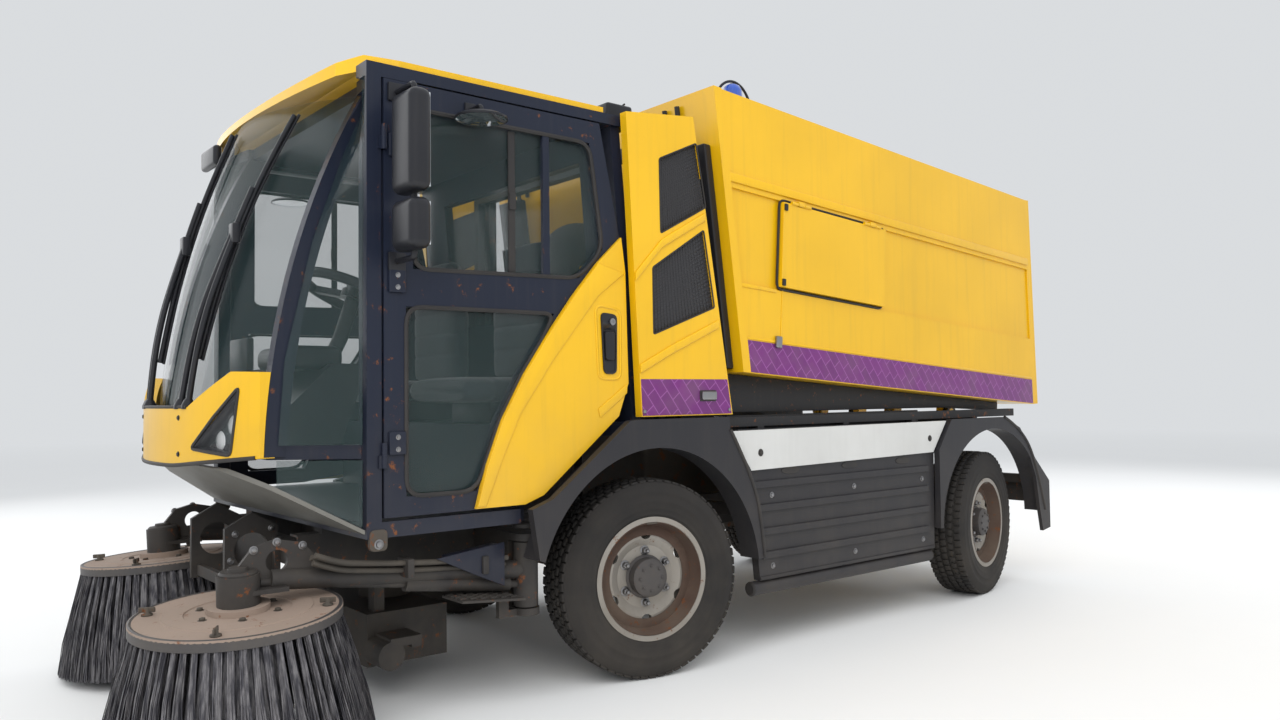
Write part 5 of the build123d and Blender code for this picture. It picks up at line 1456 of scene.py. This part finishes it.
class SWEEPER_OT_hopper(bpy.types.Operator):
    """Dress the hopper with bands, hatches, lines and the roof lamp"""

    bl_idname = "sweeper.hopper"
    bl_label = "Hopper"

    def execute(self, context):
        """Dress both sides, the front and the rear door of the hopper."""
        for hand, side in HANDS.items():
            band = side_slab(
                side,
                [(0.4975, 1.018), (2.822, 1.018), (2.806, 1.152), (0.470, 1.152)],
                HOPPER_X,
                0.8515,
                0.0006,
                1,
            )
            hand_over(shift(band, RAISE), f"hopper_band_{hand}", "hopper", "stripe_purple")
            seam = bead(on_side(side, 0.8510, rounded(HATCH_EDGE, 0.03)), 0.006)
            hand_over(shift(seam, RAISE), f"hatch_seal_{hand}", "hopper", "seal_rubber")
            catch = block(side, (0.8505, 0.640, 1.135), (0.866, 0.676, 1.185), 0.005, 3)
            pins = [block(side, (0.8715, 0.652, z), (0.880, 0.672, z + 0.030), 0.003) for z in (1.405, 1.735)]
            hand_over(shift(catch, RAISE), f"band_catch_{hand}", "hopper", "bright_metal")
            hand_over(shift(joined(pins), RAISE), f"hatch_pins_{hand}", f"hopper_hatch_{hand}", "seal_rubber")
            creases = [side_slab(side, line, HOPPER_X, x, *edge) for line, x, *edge in HOPPER_CREASES]
            hand_over(shift(joined(creases), RAISE), f"hopper_creases_{hand}", "hopper", "yellow")
            self.front_shade_channel(hand, side)
        # Sills riding under the hopper as an underframe; their black paint also stands in as painted shade
        # for the shadow beneath the hopper
        sill = [(0.470, 0.845), (2.140, 0.957), (2.640, 0.965), (2.640, 1.013), (0.470, 1.013)]
        sills = [side_slab(side, sill, 0.690, 0.735, 0.004) for side in HANDS.values()]
        sills.append(brick(axle(-0.690, 0.470, 0.918), axle(0.690, 0.500, 1.013), 0.004))
        hand_over(shift(joined(sills), RAISE), "hopper_sills_and_shade", "hopper", "chassis_black")
        self.roof_lamp()
        self.rear_door()
        return {"FINISHED"}

    def front_shade_channel(self, hand, side):
        """Black channel up the hopper's front edge, painted shade for the gap in front of the hopper, with
        pipes ahead of it.
        """
        face = [(FRONT_FOOT_Y - (z - FRONT_FOOT_Z) * FRONT_LEAN, z) for z in (1.030, 1.950)]
        outline = [(y - 0.001, z) for y, z in face] + [(y - 0.040, z) for y, z in face[::-1]]
        # The channel's black is painted shade for the gap between cowl and hopper
        channel = side_slab(side, outline, 0.600, 0.806, 0.006, 3)
        hand_over(shift(channel, RAISE), f"front_shade_channel_{hand}", "hopper", "black_plastic")
        lines = []
        for x, top, out in (
            (0.775, 1.700, 0.058), (0.740, 1.640, 0.056), (0.640, 2.140, 0.014), (0.560, 2.140, 0.014)
        ):
            start = 1.080 if top < 1.9 else 1.955
            heights = [start + (top - start) * k / 4 for k in range(5)]
            points = [(x, FRONT_FOOT_Y - (z - FRONT_FOOT_Z) * FRONT_LEAN - out, z) for z in heights]
            lines.append(pipe([RAISE @ axle(side * px, py, pz) for px, py, pz in points], 0.011))
        hand_over(joined(lines), f"front_lines_{hand}", "hopper", "hose_rubber")

    def roof_lamp(self):
        """Blue lamp on a rubber foot under its hoop."""
        up = (0, -math.sin(TIP), math.cos(TIP))
        foot = turned([(0, 0), (0, 0.052), (0.016, 0.050), (0.022, 0.045), (0.022, 0)], 40)
        dome = turned(
            [(0.021, 0), (0.021, 0.044), (0.085, 0.044), (0.105, 0.034), (0.116, 0.015), (0.118, 0)], 40
        )
        seat = RAISE @ axle(0.700, 0.490, 2.1803)
        arc = [math.radians(a) for a in range(0, 181, 15)]
        hoop = pipe(
            [RAISE @ axle(0.700, 0.490 - 0.112 * math.cos(a), 2.182 + 0.128 * math.sin(a)) for a in arc],
            0.006,
        )
        hand_over(
            joined([shift(foot, aim(seat, up)), hoop]),
            "lamp_foot",
            "hopper",
            "black_plastic",
            ["hopper_fittings"],
        )
        hand_over(shift(dome, aim(seat, up)), "roof_lamp", "hopper", "blue_lens")

    def rear_door(self):
        """Ribs, edge strip and catches on the hopper's rear door."""
        ribs = []
        for z in (1.160, 1.420, 1.680, 1.940):
            y = REAR_FOOT_Y - (z - REAR_FOOT_Z) * REAR_LEAN
            ribs.append(brick(axle(-0.780, y - 0.010, z), axle(0.780, y + 0.026, z + 0.050), 0.008, 3))
        for x in (-0.800, -0.020, 0.760):
            ribs.append(
                slab(
                    [
                        axle(x, REAR_FOOT_Y - 0.010 - (z - REAR_FOOT_Z) * REAR_LEAN + dy, z)
                        for z, dy in ((1.060, 0), (1.060, 0.032), (2.140, 0.032), (2.140, 0))
                    ],
                    (0.040, 0, 0),
                    0.005,
                )
            )
        hand_over(shift(joined(ribs), RAISE), "door_ribs", "hopper_door", "yellow")
        catches = [
            brick(axle(x - 0.022, 2.880, 1.030), axle(x + 0.022, 2.912, 1.110), 0.006)
            for x in (-0.620, 0.620)
        ]
        hand_over(shift(joined(catches), RAISE), "door_catches", "hopper_door", "bright_metal")


class SWEEPER_OT_sides(bpy.types.Operator):
    """Finish skirts, plates, arches and guards"""

    bl_idname = "sweeper.sides"
    bl_label = "Sides"

    def execute(self, context):
        """Finish both sides and the tail."""
        for hand, side in HANDS.items():
            spots = [(axle(side * 0.852, y, z), (side, 0, 0)) for y, z in PLATE_SCREWS]
            bolts(f"plate_screws_{hand}", "chassis", spots, 0.012, 0.005, "seal_rubber")
            # Painted shade: dark ovals on the skirt stand in for the slots' dark insides, no hole is cut
            ovals = []
            for y in (0.760, 1.170, 1.580):
                outline = [
                    (y + 0.058 * math.cos(a), 0.750 + 0.017 * math.sin(a))
                    for a in np.linspace(0, 2 * math.pi, 25)[:-1]
                ]
                ovals.append(side_slab(side, outline, SKIRT_X, 0.8405, 0.001, 1))
            hand_over(joined(ovals), f"skirt_slot_shade_{hand}", "chassis", "seal_rubber")
            ends = []
            for y, way in ((0.526, -1), (1.810, 1)):
                ends.append(
                    shift(
                        turned([(0, 0), (0, 0.0305), (0.004, 0.0305), (0.010, 0.024), (0.012, 0)], 32),
                        aim(axle(side * 0.815, y, 0.262), (0, way, 0)),
                    )
                )
            hand_over(joined(ends), f"guard_caps_{hand}", "chassis", "seal_rubber")
            edge = [(y, z) for y, z in ((0.556, 0.312), (1.832, 0.312), (1.832, 0.298), (0.562, 0.298))]
            hand_over(
                side_slab(side, edge, SKIRT_X, 0.8435, 0.002), f"skirt_edge_{hand}", "chassis", "skirt_grey"
            )
            spots = [
                (axle(side * 0.838, y, z), (side, 0, 0))
                for y in (0.640, 1.200, 1.740)
                for z in (0.350, 0.650)
            ]
            bolts(f"skirt_bolts_{hand}", "chassis", spots, 0.010, 0.006)
            # Painted shade: a black sheet inboard of the skirt that fills the shadowed gap between the side
            # plate and the hopper
            screen = block(side, (0.742, 0.460, 0.604), (0.755, 1.840, 0.992), 0.003)
            hand_over(screen, f"shade_sheet_{hand}", "chassis", "chassis_black")
            self.arches(hand, side)
            treads = [
                brick(
                    axle(side * x, -0.830 + k * 0.040, 0.400 - k * 0.0037),
                    axle(side * (x + 0.014), -0.806 + k * 0.040, 0.4065 - k * 0.0037),
                    0.001,
                    1,
                )
                for k in range(6)
                for x in (0.672, 0.702, 0.732, 0.762)
            ]
            hand_over(joined(treads), f"step_treads_{hand}", "chassis", "chassis_black")
        return {"FINISHED"}

    def arches(self, hand, side):
        """Rubber lips round the wheel openings."""
        lips = []
        for line in (FRONT_LIP, REAR_LIP):
            lips.append(pipe(on_side(side, ARCH_X, line), 0.008))
        hand_over(joined(lips), f"arch_lips_{hand}", "chassis", "seal_rubber")


class SWEEPER_OT_tail(bpy.types.Operator):
    """Finish the bumper, lamps and towing gear"""

    bl_idname = "sweeper.tail"
    bl_label = "Tail and carrier"

    def execute(self, context):
        """Finish the tail, then the carrier under the nose."""
        frames = []
        for side in HANDS.values():
            frames.append(
                bead(
                    [
                        axle(side * x, 2.9995, z)
                        for x, z in rounded(
                            [(0.636, 0.451), (0.824, 0.451), (0.824, 0.549), (0.636, 0.549)], 0.012
                        )
                    ],
                    0.004,
                )
            )
            for x in (0.700, 0.760):
                frames.append(pipe([axle(side * x, 2.9990, 0.457), axle(side * x, 2.9990, 0.543)], 0.003))
        hand_over(joined(frames), "tail_lamp_frames", "chassis", "seal_rubber")
        plate = brick(axle(-0.600, 2.9855, 0.445), axle(-0.340, 2.9905, 0.555), 0.002)
        hand_over(plate, "blank_plate", "chassis", "plate_white")
        spots = [
            (axle(x, 2.986, z), (0, 1, 0)) for x in (-0.300, -0.230, 0.230, 0.300) for z in (0.465, 0.535)
        ]
        bolts("bumper_bolts", "chassis", spots, 0.011, 0.008)
        spots = [(axle(side * 0.210, y, z), (side, 0, 0)) for side in (1, -1) for y, z in CARRIER_BOLTS]
        bolts("carrier_bolts", "chassis", spots, 0.009, 0.007)
        lugs = [
            side_slab(
                side,
                rounded([(-1.160, 0.600), (-1.160, 0.668), (-1.100, 0.668), (-1.100, 0.600)], 0.018),
                0.782,
                0.800,
                0.003,
            )
            for side in HANDS.values()
        ]
        hand_over(joined(lugs), "corner_lugs", "chassis", "axle_iron")
        bolts(
            "lug_bolts",
            "chassis",
            [(axle(side * 0.800, -1.130, 0.622), (side, 0, 0)) for side in HANDS.values()],
            0.012,
            0.009,
        )
        return {"FINISHED"}


class SWEEPER_OT_stage(bpy.types.Operator):
    """Lay the floor, hang the lamps and set the camera at the photograph's angle"""

    bl_idname = "sweeper.stage"
    bl_label = "Studio"

    def execute(self, context):
        """Build floor, lamps, world and camera."""
        rest()
        bpy.ops.mesh.primitive_circle_add(vertices=96, radius=60, fill_type="NGON")
        floor = bpy.context.object
        floor.name = "studio_floor"
        ground = Finish("studio_floor", (0.80, 0.80, 0.79), 0.9)
        ground.set("Base Color", ground.over(ground.noise(0.8, 3), (0.78, 0.78, 0.77), (0.82, 0.82, 0.81)))
        self.fade(ground)
        floor.data.materials.append(ground.material)
        self.lamps(context)
        self.world(context)
        self.camera(context)
        context.scene.view_settings.view_transform = "Standard"
        return {"FINISHED"}

    def fade(self, ground):
        """Let the far floor run into the background for the camera."""
        where = ground.node("ShaderNodeTexCoord")
        reach = ground.node("ShaderNodeVectorMath", _0=where.outputs["Object"])
        reach.operation = "LENGTH"
        ray = ground.node("ShaderNodeLightPath")
        far = ground.times(
            ground.span(reach.outputs["Value"], FADE_START, FADE_END), ray.outputs["Is Camera Ray"]
        )
        air = ground.node("ShaderNodeEmission", Color=AIR, Strength=1.0)
        mix = ground.node("ShaderNodeMixShader", _0=far, _1=ground.shader.outputs[0], _2=air.outputs[0])
        ground.tree.links.new(mix.outputs[0], ground.tree.nodes["Material Output"].inputs["Surface"])

    def lamps(self, context):
        """Three large soft lamps, of which gloss shows the fill alone."""
        for name, place, size, power in LAMPS:
            lamp = bpy.data.lights.new(name, "AREA")
            lamp.energy = power
            lamp.size = size
            holder = bpy.data.objects.new(name, lamp)
            holder.location = place
            holder.visible_glossy = name == "fill"
            holder.rotation_euler = (LAMP_TARGET - Vector(place)).to_track_quat("-Z", "Y").to_euler()
            context.scene.collection.objects.link(holder)

    def world(self, context):
        """Even pale light with a pale background."""
        world = bpy.data.worlds.new("studio_air")
        world.use_nodes = True
        tree = world.node_tree
        shade = tree.nodes["Background"]
        shade.inputs["Color"].default_value = (0.93, 0.96, 1.0, 1)
        shade.inputs["Strength"].default_value = 0.80
        seen = tree.nodes.new("ShaderNodeBackground")
        seen.inputs["Color"].default_value = AIR
        ray = tree.nodes.new("ShaderNodeLightPath")
        mix = tree.nodes.new("ShaderNodeMixShader")
        tree.links.new(ray.outputs["Is Camera Ray"], mix.inputs[0])
        tree.links.new(shade.outputs[0], mix.inputs[1])
        tree.links.new(seen.outputs[0], mix.inputs[2])
        tree.links.new(mix.outputs[0], tree.nodes["World Output"].inputs[0])
        context.scene.world = world

    def camera(self, context):
        """Camera fitted to the photograph."""
        yaw, pitch, roll = (math.radians(angle) for angle in CAMERA_TURN)
        ahead = Vector((-math.cos(yaw) * math.cos(pitch), math.sin(yaw) * math.cos(pitch), math.sin(pitch)))
        right = Vector((math.sin(yaw), math.cos(yaw), 0))
        up = right.cross(ahead)
        tilted = math.cos(roll) * right + math.sin(roll) * up
        upright = -math.sin(roll) * right + math.cos(roll) * up
        lens = bpy.data.cameras.new("camera")
        lens.sensor_width = SENSOR
        lens.lens = FOCAL_PIXELS / PHOTO_WIDTH * SENSOR
        lens.clip_end = 200
        camera = bpy.data.objects.new("camera", lens)
        turn = Matrix((tilted, upright, -ahead)).transposed().to_4x4()
        camera.matrix_world = Matrix.Translation(axle(*CAMERA_PLACE)) @ turn
        context.scene.collection.objects.link(camera)
        context.scene.camera = camera


STEPS = (
    "finishes",
    "tyres",
    "wheels",
    "brushes",
    "arms",
    "wipers",
    "mirrors",
    "doors",
    "nose",
    "interior",
    "cowls",
    "hopper",
    "sides",
    "tail",
    "stage",
)


class SWEEPER_PT_panel(bpy.types.Panel):
    """Lists the dressing steps and their settings"""

    bl_label = "Street Sweeper"
    bl_idname = "SWEEPER_PT_panel"
    bl_space_type = "VIEW_3D"
    bl_region_type = "UI"
    bl_category = "Sweeper"

    def draw(self, context):
        """Draw the settings and one button a step."""
        for group in (context.scene.sweeper_colours, context.scene.sweeper_sizes):
            for setting in group.__annotations__:
                self.layout.prop(group, setting)
        for step in STEPS:
            self.layout.operator(f"sweeper.{step}")


CLASSES = (
    SweeperColours,
    SweeperSizes,
    SWEEPER_OT_finishes,
    SWEEPER_OT_tyres,
    SWEEPER_OT_wheels,
    SWEEPER_OT_brushes,
    SWEEPER_OT_arms,
    SWEEPER_OT_wipers,
    SWEEPER_OT_mirrors,
    SWEEPER_OT_doors,
    SWEEPER_OT_nose,
    SWEEPER_OT_interior,
    SWEEPER_OT_cowls,
    SWEEPER_OT_hopper,
    SWEEPER_OT_sides,
    SWEEPER_OT_tail,
    SWEEPER_OT_stage,
    SWEEPER_PT_panel,
)


def register():
    """Add the classes and the scene's settings."""
    for item in CLASSES:
        bpy.utils.register_class(item)
    bpy.types.Scene.sweeper_colours = bpy.props.PointerProperty(type=SweeperColours)
    bpy.types.Scene.sweeper_sizes = bpy.props.PointerProperty(type=SweeperSizes)


def unregister():
    """Take them away again."""
    del bpy.types.Scene.sweeper_sizes
    del bpy.types.Scene.sweeper_colours
    for item in reversed(CLASSES):
        bpy.utils.unregister_class(item)


def main():
    """Dress the truck."""
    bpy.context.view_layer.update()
    register()
    for step in STEPS:
        getattr(bpy.ops.sweeper, step)()
    rest()


if __name__ == "__main__":
    main()
